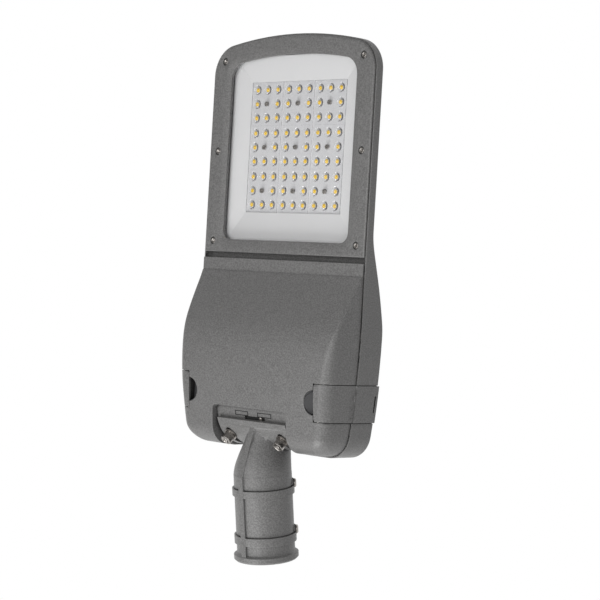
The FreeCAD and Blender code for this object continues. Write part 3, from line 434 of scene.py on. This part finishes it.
def edge_group():
    """Sharp edges and narrow gaps: a mask of each, for a painted highlight and painted shade, and a
    normal that turns round the edge.
    """
    tree, source, sink = new_group(
        "Soft Edge", (("Radius", 0.0006), ("Gap reach", 0.010)),
        (("Mask", "NodeSocketFloat"), ("Gap", "NodeSocketFloat"), ("Normal", "NodeSocketVector")))
    # The gap mask is painted shade: it rises where nearby surfaces block the open sky round a
    # point.
    open_sky = tree.nodes.new("ShaderNodeAmbientOcclusion")
    open_sky.samples = GAP_SAMPLES
    tree.links.new(source.outputs["Gap reach"], open_sky.inputs["Distance"])
    tree.links.new(remap(tree, open_sky.outputs["AO"], PAINTED_SHADE_RANGE), sink.inputs["Gap"])
    # The edge mask marks where a painted highlight goes along sharp edges.
    bevel = tree.nodes.new("ShaderNodeBevel")
    bevel.samples = EDGE_SAMPLES
    tree.links.new(source.outputs["Radius"], bevel.inputs["Radius"])
    face = tree.nodes.new("ShaderNodeNewGeometry")
    dot = tree.nodes.new("ShaderNodeVectorMath")
    dot.operation = "DOT_PRODUCT"
    tree.links.new(bevel.outputs["Normal"], dot.inputs[0])
    tree.links.new(face.outputs["Normal"], dot.inputs[1])
    tree.links.new(remap(tree, dot.outputs["Value"], PAINTED_HIGHLIGHT_RANGE), sink.inputs["Mask"])
    tree.links.new(bevel.outputs["Normal"], sink.inputs["Normal"])


def group_node(material, group, **values):
    """A node of a shared group in a material, with its inputs set by name."""
    node = material.node_tree.nodes.new("ShaderNodeGroup")
    node.node_tree = bpy.data.node_groups[group]
    for label, number in values.items():
        node.inputs[label.replace("_", " ")].default_value = number
    return node


def new_material(name, **fixed):
    """A material with one Principled shader, whose constant sockets are set by name."""
    material = bpy.data.materials.new(name)
    material.use_nodes = True
    shader = material.node_tree.nodes["Principled BSDF"]
    for label, value in fixed.items():
        is_colour = isinstance(value, tuple) and len(value) == 3
        shader.inputs[label.replace("_", " ")].default_value = (*value, 1.0) if is_colour else value
    return material, shader


def bump_node(tree, height, distance):
    """A bump from a height socket."""
    bump = tree.nodes.new("ShaderNodeBump")
    bump.inputs["Strength"].default_value = 1.0
    bump.inputs["Distance"].default_value = distance
    tree.links.new(height, bump.inputs["Height"])
    return bump


def shaded(colour, factor):
    """A colour made darker or lighter."""
    return tuple(min(1.0, c * factor) for c in colour)


def grainy(name, colour, roughness, waves, height, contrast, edge=0.0, **fixed):
    """A grained skin: colour and roughness follow the grain and its clouds, edges turn softly; with
    an edge radius, sharp edges get a painted highlight and narrow gaps painted shade.
    """
    material, shader = new_material(name, **fixed)
    tree = material.node_tree
    grain = group_node(material, "Fine Grain", Waves_per_metre=waves)
    base = blend_colour(tree, grain.outputs["Mask"], shaded(colour, 1.0 - contrast),
                        shaded(colour, 1.0 + contrast))
    cloudy = blend_colour(tree, grain.outputs["Cloud"], shaded(colour, CLOUD_DARK),
                          shaded(colour, CLOUD_LIGHT))
    share = remap(tree, grain.outputs["Cloud"], FULL, CLOUD_SHARE)
    mix = blend_colour(tree, share, base, cloudy)
    swing = (roughness - SKIN_SWING, roughness + SKIN_SWING)
    tree.links.new(remap(tree, grain.outputs["Mask"], FULL, swing), shader.inputs["Roughness"])
    bump = bump_node(tree, grain.outputs["Height"], height)
    if edge > 0.0:
        soft = group_node(material, "Soft Edge", Radius=edge)
        tree.links.new(soft.outputs["Normal"], bump.inputs["Normal"])
        # Painted highlight: sharp edges are made lighter.
        mix = blend_colour(tree, soft.outputs["Mask"], mix, shaded(colour, EDGE_PAINTED_HIGHLIGHT))
        # Painted shade: narrow gaps and inner corners are made darker.
        mix = blend_colour(tree, soft.outputs["Gap"], mix, shaded(colour, GAP_PAINTED_SHADE))
    tree.links.new(mix, shader.inputs["Base Color"])
    tree.links.new(bump.outputs["Normal"], shader.inputs["Normal"])
    return material


def skin(name):
    """One of the grained skins that are listed by name."""
    return grainy(name, *SKINS[name])


def tinted(name, colour):
    """One of the grained finishes whose colour comes from the settings."""
    return grainy(name, tuple(colour), *TINTED[name])


def turned(name, colour):
    """Machined or plated metal with fine marks."""
    roughness, waves, height = METALS[name]
    material, shader = new_material(name, Metallic=1.0)
    tree = material.node_tree
    marks = group_node(material, "Turned Metal", Waves_per_metre=waves)
    soft = group_node(material, "Soft Edge", Radius=METAL_EDGE)
    mask = marks.outputs["Mask"]
    tint = blend_colour(tree, mask, shaded(colour, MARK_DARK), shaded(colour, MARK_LIGHT))
    tree.links.new(tint, shader.inputs["Base Color"])
    swing = tuple(roughness + change for change in METAL_SWING)
    tree.links.new(remap(tree, mask, FULL, swing), shader.inputs["Roughness"])
    bump = bump_node(tree, marks.outputs["Height"], height)
    tree.links.new(soft.outputs["Normal"], bump.inputs["Normal"])
    tree.links.new(bump.outputs["Normal"], shader.inputs["Normal"])
    return material


def clear(name):
    """Clear glass or acrylic; shadow and diffuse rays pass straight through it."""
    tint, ior, roughness, waves, height = CLEARS[name]
    material, shader = new_material(name, Base_Color=tint, IOR=ior, Transmission_Weight=1.0)
    tree = material.node_tree
    grain = group_node(material, "Fine Grain", Waves_per_metre=waves)
    swing = (roughness, roughness + GLASS_SWING)
    tree.links.new(remap(tree, grain.outputs["Cloud"], FULL, swing), shader.inputs["Roughness"])
    bump = bump_node(tree, grain.outputs["Height"], height)
    tree.links.new(bump.outputs["Normal"], shader.inputs["Normal"])
    path = tree.nodes.new("ShaderNodeLightPath")
    through = tree.nodes.new("ShaderNodeBsdfTransparent")
    through.inputs["Color"].default_value = (*tint, 1.0)
    either = maths(tree, "MAXIMUM", path.outputs["Is Shadow Ray"], path.outputs["Is Diffuse Ray"])
    mix_shaders(tree, either, shader.outputs[0], through.outputs[0], "Material Output")
    return material


# Mesh helpers

def moved_to(x, y, z):
    """The matrix that moves a new form from the origin to a point in metres."""
    return Matrix.Translation((x, y, z))


def verts_of(geometry):
    """The vertices among what a bmesh operation made."""
    return [g for g in geometry if isinstance(g, bmesh.types.BMVert)]


def finished_mesh(name, bm, angle=MOULDED_ANGLE):
    """Ends a bmesh: normals outwards, mesh made, smooth up to an angle."""
    bmesh.ops.recalc_face_normals(bm, faces=bm.faces)
    mesh = bpy.data.meshes.new(name)
    bm.to_mesh(mesh)
    bm.free()
    mesh.shade_smooth()
    mesh.set_sharp_from_angle(angle=math.radians(angle))
    return mesh


def paint(mesh, material):
    """Gives a mesh one material."""
    mesh.materials.clear()
    mesh.materials.append(material)


def add_piece(name, mesh, material, body, nodes=()):
    """Puts a finished mesh in the scene, riding on a body, in place of CAD nodes."""
    piece = bpy.data.objects.new(name, mesh)
    bpy.context.scene.collection.objects.link(piece)
    paint(mesh, material)
    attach(piece, body)
    if nodes:
        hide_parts(*nodes)
    return piece


def smooth_piece(node, name, material, angle=CAST_ANGLE):
    """A merged copy of a CAD node, shaded smooth up to an angle, with flat faces kept flat."""
    source = NODES[node]
    mesh = source.data.copy()
    mesh.name = name
    bm = bmesh.new()
    bm.from_mesh(mesh)
    bmesh.ops.remove_doubles(bm, verts=bm.verts, dist=WELD)
    bmesh.ops.dissolve_degenerate(bm, dist=SLIVER, edges=bm.edges)
    bm.to_mesh(mesh)
    bm.free()
    mesh.shade_smooth()
    mesh.set_sharp_from_angle(angle=math.radians(angle))
    piece = add_piece(name, mesh, material, source["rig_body"], (node,))
    weights = piece.modifiers.new("Face weights", "WEIGHTED_NORMAL")
    weights.keep_sharp = True


def paint_node(node, material):
    """Gives a CAD node that is shown as it is its finish."""
    paint(NODES[node].data, material)


class STREETLIGHT_OT_castings(Operator):
    """Coats the housing, window frame, gear cover, latches and spigot"""
    bl_idname = "streetlight.castings"
    bl_label = "Castings"

    def execute(self, context):
        coat = context.scene.streetlight_coat
        material = grainy("Dark powder coat", tuple(coat.colour), coat.roughness, 1.0 / coat.grain,
                          coat.grain_height, coat.speckle, edge=coat.edge,
                          Specular_IOR_Level=coat.gloss)
        for node, name, angle in CASTINGS:
            smooth_piece(node, name, material, angle)
        return {"FINISHED"}


def scoop_floor(x):
    """Height in mm of a finger scoop's floor at a distance x from the middle of the head."""
    return SCOOP["z"] + (abs(x) - (SCOOP["x"] - SCOOP["r"])) * SCOOP["slope"]


def side_cut(bm, side, reach):
    """Cuts away what lies beyond reach mm on one side; returns the edges of the open cut."""
    everything = bm.verts[:] + bm.edges[:] + bm.faces[:]
    cut = bmesh.ops.bisect_plane(bm, geom=everything, dist=SLIVER, clear_outer=True,
                                 plane_co=at(side * reach, 0.0, 0.0), plane_no=(side, 0.0, 0.0))
    return [e for e in cut["geom_cut"] if isinstance(e, bmesh.types.BMEdge)]


def scoop_cutter(side):
    """Half-moon block with a sloping floor that stands for the room of one finger scoop."""
    bm = bmesh.new()
    rim = scoop_floor(SCOOP["x"])
    radius = SCOOP["r"] * MM
    place = Matrix.Translation(at(side * SCOOP["x"], SCOOP["y"], (rim + SCOOP_TOP) / 2))
    made = bmesh.ops.create_cone(bm, cap_ends=True, radius1=radius, radius2=radius,
                                 segments=SCOOP_SIDES, depth=(rim - SCOOP_TOP) * MM, matrix=place)
    level = at(0.0, 0.0, rim).z
    for v in made["verts"]:
        if abs(v.co.z - level) < LEVEL_GAP:
            v.co.z = at(0.0, 0.0, scoop_floor(v.co.x / MM)).z
    bmesh.ops.contextual_create(bm, geom=side_cut(bm, side, SCOOP["edge"]))
    return finished_mesh("scoop_room", bm)


def scoop_cup(side):
    """Near black cup of painted shade under one finger scoop: a half-moon wall and a sloping floor.
    """
    bm = bmesh.new()
    place = Matrix.Translation(at(side * SCOOP["x"], SCOOP["y"], SCOOP["z"]))
    made = bmesh.ops.create_circle(bm, cap_ends=True, radius=(SCOOP["r"] + CUP_GAP) * MM,
                                   segments=SCOOP_SIDES, matrix=place)["verts"]
    mouth = made[0].link_faces[0]
    walls = bmesh.ops.extrude_face_region(bm, geom=[mouth])["geom"]
    bmesh.ops.delete(bm, geom=[mouth], context="FACES_ONLY")
    for v in verts_of(walls):
        v.co.z = at(0.0, 0.0, scoop_floor(v.co.x / MM) + CUP_LIFT).z
    side_cut(bm, side, SCOOP["end"])
    return bm


def carve(piece, cutters):
    """Cuts rooms out of a piece's mesh for good."""
    helpers = []
    for mesh in cutters:
        tool = bpy.data.objects.new(mesh.name, mesh)
        bpy.context.scene.collection.objects.link(tool)
        cut = piece.modifiers.new("cut", "BOOLEAN")
        cut.operation = "DIFFERENCE"
        cut.object = tool
        helpers.append(tool)
    graph = bpy.context.evaluated_depsgraph_get()
    carved = bpy.data.meshes.new_from_object(piece.evaluated_get(graph))
    carved.name = piece.name
    carved.set_sharp_from_angle(angle=math.radians(CAST_ANGLE))
    for cut in [m for m in piece.modifiers if m.type == "BOOLEAN"]:
        piece.modifiers.remove(cut)
    piece.data = carved
    for tool in helpers:
        bpy.data.objects.remove(tool)


class STREETLIGHT_OT_scoops(Operator):
    """Hollows the finger scoops beside the latches and lines them with near black cups of painted
    shade
    """
    bl_idname = "streetlight.scoops"
    bl_label = "Finger scoops"

    def execute(self, context):
        cover = bpy.data.objects["gear_cover_casting"]
        cover.modifiers["Face weights"].show_viewport = False
        carve(cover, [scoop_cutter(1), scoop_cutter(-1)])
        cover.modifiers["Face weights"].show_viewport = True
        # Painted shade: the cups are near black where the finger scoops lie in shade.
        moulding = skin("Black moulded cup")
        for side, name in ((1, "scoop_cup_right"), (-1, "scoop_cup_left")):
            cup = finished_mesh(name, scoop_cup(side))
            piece = add_piece(name, cup, moulding, "cover")
            wall = piece.modifiers.new("Wall", "SOLIDIFY")
            wall.thickness = CUP_WALL
            wall.offset = -1.0
        return {"FINISHED"}


def cell_ring(bm, verts, mover):
    """Extrudes a closed ring of edges and moves each new vertex; returns the ring in order."""
    edges = [bm.edges.get((a, b)) for a, b in zip(verts, verts[1:] + verts[:1])]
    fresh = verts_of(bmesh.ops.extrude_edge_only(bm, edges=edges)["geom"])
    ordered = [min(fresh, key=lambda w: (w.co - v.co).length_squared) for v in verts]
    for v in ordered:
        v.co = mover(v.co)
    return ordered


def round_rim(bm, centre, z, half, radius, facets):
    """A circle, in order, with flat faces from it out to the square of its cell."""
    middle = Vector((centre.x, centre.y, z))
    made = bmesh.ops.create_circle(bm, cap_ends=False, radius=radius, segments=facets,
                                   matrix=moved_to(*middle))["verts"]
    rim = sorted(made, key=lambda v: math.atan2(v.co.y - centre.y, v.co.x - centre.x))

    def outward(co):
        d = co - middle
        return middle + d * (half / max(abs(d.x), abs(d.y)))

    cell_ring(bm, rim, outward)
    return rim


def lens_cell(bm, centre, z, half, radius, rise, steps, facets):
    """A square cell with a round dome that rises by rise, in place."""
    ring = round_rim(bm, centre, z, half, radius, facets)
    quarter = 0.5 * math.pi / (steps + DOME_TIP)
    for k in range(1, steps + 1):
        scale = math.cos(quarter * k) / math.cos(quarter * (k - 1))
        level = z + rise * math.sin(quarter * k)

        def inward(co):
            return Vector((centre.x + (co.x - centre.x) * scale,
                           centre.y + (co.y - centre.y) * scale, level))

        ring = cell_ring(bm, ring, inward)
    top = bmesh.ops.contextual_create(bm, geom=ring)["faces"]
    for v in bmesh.ops.poke(bm, faces=top)["verts"]:
        v.co.z = z + rise


def hole_cell(bm, centre, front, back, half, radius, facets):
    """The screw's cell: a square with a round hole, on both faces of the plate."""
    low, high = (round_rim(bm, centre, z, half, radius, facets) for z in (front, back))
    for k in range(facets):
        n = (k + 1) % facets
        bmesh.ops.contextual_create(bm, geom=[low[k], low[n], high[n], high[k]])


def lens_plate(optics, node):
    """One moulded plate: eight clear domes round a screw hole, and a dimple behind each dome."""
    low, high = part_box(node)
    centre = (low + high) / 2
    back = high.z - PLATE_GAP
    front = high.z - optics.plate
    half = optics.pitch / 2
    side = (high.x - low.x) / 2
    facets = optics.facets
    border = 1.5 * optics.pitch - BORDER_GAP
    bm = bmesh.new()
    for i, j in CELLS:
        spot = Vector((centre.x + i * optics.pitch, centre.y + j * optics.pitch, 0.0))
        if i == 0 and j == 0:
            hole_cell(bm, spot, front, back, half, HOLE_R, facets)
            continue
        lens_cell(bm, spot, front, half, optics.dome_radius, -optics.dome_height, DOME_STEPS,
                  facets)
        lens_cell(bm, spot, back, half, DIMPLE_R, -DIMPLE_RISE, DIMPLE_STEPS, facets)
    bmesh.ops.remove_doubles(bm, verts=bm.verts, dist=PLATE_WELD)
    for v in bm.verts:
        for axis in (0, 1):
            d = v.co[axis] - centre[axis]
            if abs(d) > border:
                v.co[axis] = centre[axis] + math.copysign(side, d)
    bmesh.ops.bridge_loops(bm, edges=[e for e in bm.edges if e.is_boundary])
    return finished_mesh(node + "_optic", bm)


def chip_spots(optics, plates):
    """Centres of the LED chips: eight cells round the screw of each plate, on the board's face."""
    spots = []
    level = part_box("led_board")[0].z
    for node in plates:
        low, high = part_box(node)
        centre = (low + high) / 2
        for i, j in CELLS:
            if i or j:
                x, y = centre.x + i * optics.pitch, centre.y + j * optics.pitch
                spots.append(Vector((x, y, level)))
    return spots


def chip_packages(spots):
    """White LED packages: small square blocks with bevelled edges."""
    bm = bmesh.new()
    form = Matrix.Diagonal((PACKAGE_SIDE, PACKAGE_SIDE, PACKAGE_H, 1.0))
    for spot in spots:
        place = moved_to(spot.x, spot.y, spot.z - PACKAGE_H / 2)
        made = bmesh.ops.create_cube(bm, size=1.0, matrix=place @ form)["verts"]
        edges = list({e for v in made for e in v.link_edges})
        bmesh.ops.bevel(bm, geom=edges, offset=PACKAGE_BEVEL, segments=1, profile=0.5,
                        affect="EDGES", material=-1)
    return finished_mesh("led_packages", bm)


def chip_phosphors(spots, radius):
    """Yellow phosphor: a low round dome on each package."""
    bm = bmesh.new()
    for spot in spots:
        rim = bmesh.ops.create_circle(bm, cap_ends=True, radius=radius, segments=PHOSPHOR_SIDES,
                                      matrix=moved_to(spot.x, spot.y, spot.z - PACKAGE_H))["verts"]
        walls = bmesh.ops.extrude_face_region(bm, geom=[rim[0].link_faces[0]])["geom"]
        for v in verts_of(walls):
            v.co = Vector((spot.x + (v.co.x - spot.x) * PHOSPHOR_TOP,
                           spot.y + (v.co.y - spot.y) * PHOSPHOR_TOP, v.co.z - PHOSPHOR_H))
    return finished_mesh("led_phosphor", bm, DOME_ANGLE)


def solder_pads(spots):
    """Dark half ring of painted shade on the +X side of each package, where the lens domes show a
    dark crescent.
    """
    half_turn = math.radians(SHADE_CRESCENT_HALF_TURN)
    start = Matrix.Rotation(-half_turn, 3, "Z")
    bm = bmesh.new()
    for spot in spots:
        verts = [bm.verts.new(spot + start @ Vector((r, 0.0, 0.0))) for r in (SHADE_CRESCENT_IN, SHADE_CRESCENT_OUT)]
        edge = bm.edges.new(verts)
        bmesh.ops.spin(bm, geom=verts + [edge], cent=spot, axis=(0.0, 0.0, 1.0),
                       angle=2 * half_turn, steps=SHADE_CRESCENT_STEPS, use_merge=False)
    bmesh.ops.solidify(bm, geom=bm.faces[:], thickness=SHADE_CRESCENT_T)
    for v in bm.verts:
        v.co.z -= SHADE_CRESCENT_DROP
    return finished_mesh("solder_pads", bm)


class STREETLIGHT_OT_optics(Operator):
    """Builds the lens plates and finishes the glass, white panels, LED board and chips"""
    bl_idname = "streetlight.optics"
    bl_label = "Window optics"

    def execute(self, context):
        optics = context.scene.streetlight_optics
        acrylic = clear("Clear acrylic lens")
        plates = sorted(n for n in NODES
                        if n.startswith("lens_plate_") and n != "lens_plate_screws")
        if len(plates) != LENS_PLATES:
            raise RuntimeError("%d lens plates are expected, found %d" % (LENS_PLATES, len(plates)))
        for node in plates:
            add_piece(node + "_optic", lens_plate(optics, node), acrylic, NODES[node]["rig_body"],
                      (node,))
        paint_node("glass", clear("Toughened glass"))
        paint_node("reflector", tinted("Satin white panel", optics.panel))
        mask = tinted("White solder mask", shaded(optics.panel, MASK_SHADE))
        paint_node("led_board", mask)
        spots = chip_spots(optics, plates)
        add_piece("led_packages", chip_packages(spots), mask, "head", ("led_chips",))
        yellow = tinted("Yellow phosphor", optics.chip)
        add_piece("led_phosphor", chip_phosphors(spots, optics.phosphor), yellow, "head")
        # Painted shade: dark half rings beside the chips give the domes their dark crescents.
        add_piece("solder_pads", solder_pads(spots), skin("Dull tin"), "head")
        return {"FINISHED"}


class STREETLIGHT_OT_seals(Operator):
    """Finishes the rubber: glass gasket, cover gasket, cable grommet and screw seals"""
    bl_idname = "streetlight.seals"
    bl_label = "Seals"

    def execute(self, context):
        rubber = skin("Black silicone rubber")
        for node, name in SEALS:
            smooth_piece(node, name, rubber)
        return {"FINISHED"}


class STREETLIGHT_OT_fasteners(Operator):
    """Finishes the screws, bolts, washers and pins"""
    bl_idname = "streetlight.fasteners"
    bl_label = "Fasteners"

    def execute(self, context):
        steel = turned("Stainless steel", context.scene.streetlight_metal.steel)
        for node in FASTENERS:
            smooth_piece(node, node + "_steel", steel)
        return {"FINISHED"}


def on_boss(x, angle, lift):
    """A point on the tilt boss: x and lift in mm, angle in degrees from down towards the pole."""
    a = math.radians(angle)
    y, z = TILT_AXIS
    return at(x, y + (BOSS_R + lift) * math.sin(a), z - (BOSS_R + lift) * math.cos(a))


def tab_outline(x0, x1):
    """Dark line of painted shade in the seam round a snap tab on the boss: a rectangular frame of
    two layers at one height.
    """
    bm = bmesh.new()
    place = moved_to((x0 + x1) / 2, (TAB_FROM + TAB_TO) / 2, 0.0)
    size = Matrix.Diagonal(((x1 - x0) / 2, (TAB_TO - TAB_FROM) / 2, 1.0, 1.0))
    bmesh.ops.create_grid(bm, x_segments=1, y_segments=1, size=1.0, matrix=place @ size)
    whole = bm.faces[:]
    bmesh.ops.inset_region(bm, faces=whole, thickness=TAB_LINE, use_even_offset=True,
                           use_boundary=True)
    bmesh.ops.delete(bm, geom=whole, context="FACES")
    bmesh.ops.subdivide_edges(bm, edges=bm.edges[:], cuts=TAB_CUTS, use_grid_fill=True)
    bmesh.ops.solidify(bm, geom=bm.faces[:], thickness=-2 * TAB_LIFT)
    for v in bm.verts:
        v.co = on_boss(v.co.x, v.co.y, TAB_LIFT)
    return bm


def window_screw():
    """The small round screw head in the window of the boss."""
    bm = bmesh.new()
    foot, tip = (on_boss(SCREW_X, SCREW_AT, lift) for lift in (SCREW_FOOT, SCREW_TIP))
    turn = (tip - foot).to_track_quat("Z", "Y").to_matrix().to_4x4()
    bmesh.ops.create_cone(bm, cap_ends=True, radius1=SCREW_R, radius2=SCREW_R,
                          segments=SCREW_SIDES, depth=(tip - foot).length,
                          matrix=Matrix.Translation((foot + tip) / 2) @ turn)
    rim = [e for e in bm.edges if all((v.co - tip).length < SCREW_RIM for v in e.verts)]
    bmesh.ops.bevel(bm, geom=rim, offset=SCREW_BEVEL, segments=SCREW_BEVEL_STEPS, profile=0.5,
                    affect="EDGES", material=-1)
    return finished_mesh("window_screw", bm)


class STREETLIGHT_OT_trim(Operator):
    """Adds painted shade lines for the snap tabs' seams, and the small terminal screw on the tilt
    boss
    """
    bl_idname = "streetlight.trim"
    bl_label = "Boss trim"

    def execute(self, context):
        # Painted shade: dark lines stand for the shade in the snap tab seams.
        dark = skin("Black rubber seam")
        for name, x0, x1 in TABS:
            add_piece(name, finished_mesh(name, tab_outline(x0, x1)), dark, "head")
        bright = shaded(context.scene.streetlight_metal.steel, BRIGHT_SHADE)
        add_piece("window_screw", window_screw(), turned("Bright screw", bright), "head")
        return {"FINISHED"}


class STREETLIGHT_OT_gear(Operator):
    """Finishes the gear behind the cover: tray, driver, surge protector, terminals and clamp"""
    bl_idname = "streetlight.gear"
    bl_label = "Gear"

    def execute(self, context):
        zinc = turned("Zinc plated sheet", context.scene.streetlight_metal.zinc)
        paint_node("gear_tray", zinc)
        paint_node("driver", skin("Off-white driver case"))
        module = skin("Black moulding")
        paint_node("surge_protector", module)
        paint_node("cable_clamp", module)
        paint_node("terminal_block", skin("Grey moulding"))
        return {"FINISHED"}


def area_light(name, power, size, target, offset):
    """A soft square lamp at target + offset that faces the target."""
    data = bpy.data.lights.new(name, "AREA")
    data.energy = power
    data.shape = "SQUARE"
    data.size = size
    lamp = bpy.data.objects.new(name, data)
    lamp.location = target + offset
    lamp.rotation_mode = "QUATERNION"
    lamp.rotation_quaternion = (-offset).to_track_quat("-Z", "Y")
    lamp.visible_camera = False
    bpy.context.scene.collection.objects.link(lamp)


def white_world(scene, ambient):
    """White where the camera, a gloss or a clear piece looks at it, a dimmer grey for light."""
    world = bpy.data.worlds.new("Studio white")
    scene.world = world
    world.use_nodes = True
    tree = world.node_tree
    lit = tree.nodes["Background"]
    seen = tree.nodes.new("ShaderNodeBackground")
    for background, strength in ((lit, ambient), (seen, 1.0)):
        background.inputs["Color"].default_value = (1.0, 1.0, 1.0, 1.0)
        background.inputs["Strength"].default_value = strength
    path = tree.nodes.new("ShaderNodeLightPath")
    looked = path.outputs["Is Camera Ray"]
    for label in ("Is Glossy Ray", "Is Transmission Ray"):
        looked = maths(tree, "MAXIMUM", looked, path.outputs[label])
    direct = maths(tree, "LESS_THAN", path.outputs["Diffuse Depth"], 0.5)
    both = maths(tree, "MULTIPLY", looked, direct)
    mix_shaders(tree, both, lit.outputs[0], seen.outputs[0], "World Output")


def add_floor(scene, stage):
    """The plain pale floor."""
    bm = bmesh.new()
    bmesh.ops.create_grid(bm, x_segments=1, y_segments=1, size=FLOOR_HALF,
                          matrix=moved_to(0.0, FLOOR_Y, -stage.floor_drop))
    mesh = bpy.data.meshes.new("floor")
    bm.to_mesh(mesh)
    bm.free()
    floor = bpy.data.objects.new("floor", mesh)
    scene.collection.objects.link(floor)
    paint(mesh, tinted("Pale floor", stage.floor_colour))


def add_camera(scene, stage):
    """The camera at the photograph's viewing angle."""
    data = bpy.data.cameras.new("camera")
    data.lens = stage.lens
    data.sensor_width = SENSOR_WIDTH
    data.clip_start = CLIP_START
    data.clip_end = CLIP_END
    camera = bpy.data.objects.new("camera", data)
    place = Matrix.Translation(Vector(stage.camera))
    camera.matrix_world = place @ Matrix(CAMERA_TURN).to_4x4()
    scene.collection.objects.link(camera)
    bpy.context.scene.camera = camera


class STREETLIGHT_OT_stage(Operator):
    """Sets the floor, the white surroundings, the lamps and the camera"""
    bl_idname = "streetlight.stage"
    bl_label = "Stage"

    def execute(self, context):
        scene = context.scene
        stage = scene.streetlight_stage
        scene.view_settings.view_transform = "Standard"
        white_world(scene, stage.ambient)
        add_floor(scene, stage)
        for name, power, way in LAMPS:
            offset = Vector(way).normalized() * stage.lamp_distance
            area_light(name, getattr(stage, power), stage.lamp_size, at(*LIT_POINT), offset)
        add_camera(scene, stage)
        return {"FINISHED"}


class STREETLIGHT_PT_panel(Panel):
    """Lists the sizes, colours and building steps of the street light head"""
    bl_idname = "STREETLIGHT_PT_panel"
    bl_label = "Street Light Head"
    bl_space_type = "VIEW_3D"
    bl_region_type = "UI"
    bl_category = "Street Light"

    def draw(self, context):
        for group, names in SETTINGS.items():
            box = self.layout.box()
            settings = getattr(context.scene, group)
            for name in names:
                box.prop(settings, name)
        for step in STEPS:
            self.layout.operator(step.bl_idname)


SETTINGS = {
    "streetlight_coat": ("colour", "roughness", "grain", "grain_height", "gloss", "speckle",
                         "edge"),
    "streetlight_optics": ("dome_radius", "dome_height", "pitch", "plate", "facets", "panel",
                           "phosphor", "chip"),
    "streetlight_metal": ("steel", "zinc"),
    "streetlight_stage": ("camera", "lens", "front", "pole", "side", "lamp_size", "lamp_distance",
                          "ambient", "floor_colour", "floor_drop"),
}
GROUPS = {
    "streetlight_coat": CoatSettings,
    "streetlight_optics": OpticsSettings,
    "streetlight_metal": MetalSettings,
    "streetlight_stage": StageSettings,
}
STEPS = (STREETLIGHT_OT_castings, STREETLIGHT_OT_scoops, STREETLIGHT_OT_optics,
         STREETLIGHT_OT_seals, STREETLIGHT_OT_fasteners, STREETLIGHT_OT_trim,
         STREETLIGHT_OT_gear, STREETLIGHT_OT_stage)


def register():
    for cls in (*GROUPS.values(), *STEPS, STREETLIGHT_PT_panel):
        bpy.utils.register_class(cls)
    for name, group in GROUPS.items():
        setattr(bpy.types.Scene, name, PointerProperty(type=group))


def unregister():
    for name in GROUPS:
        delattr(bpy.types.Scene, name)
    for cls in reversed((*GROUPS.values(), *STEPS, STREETLIGHT_PT_panel)):
        bpy.utils.unregister_class(cls)


def main():
    register()
    grain_group()
    turned_group()
    edge_group()
    bpy.ops.streetlight.castings()
    bpy.ops.streetlight.scoops()
    bpy.ops.streetlight.optics()
    bpy.ops.streetlight.seals()
    bpy.ops.streetlight.fasteners()
    bpy.ops.streetlight.trim()
    bpy.ops.streetlight.gear()
    bpy.ops.streetlight.stage()


if __name__ == "__main__":
    main()
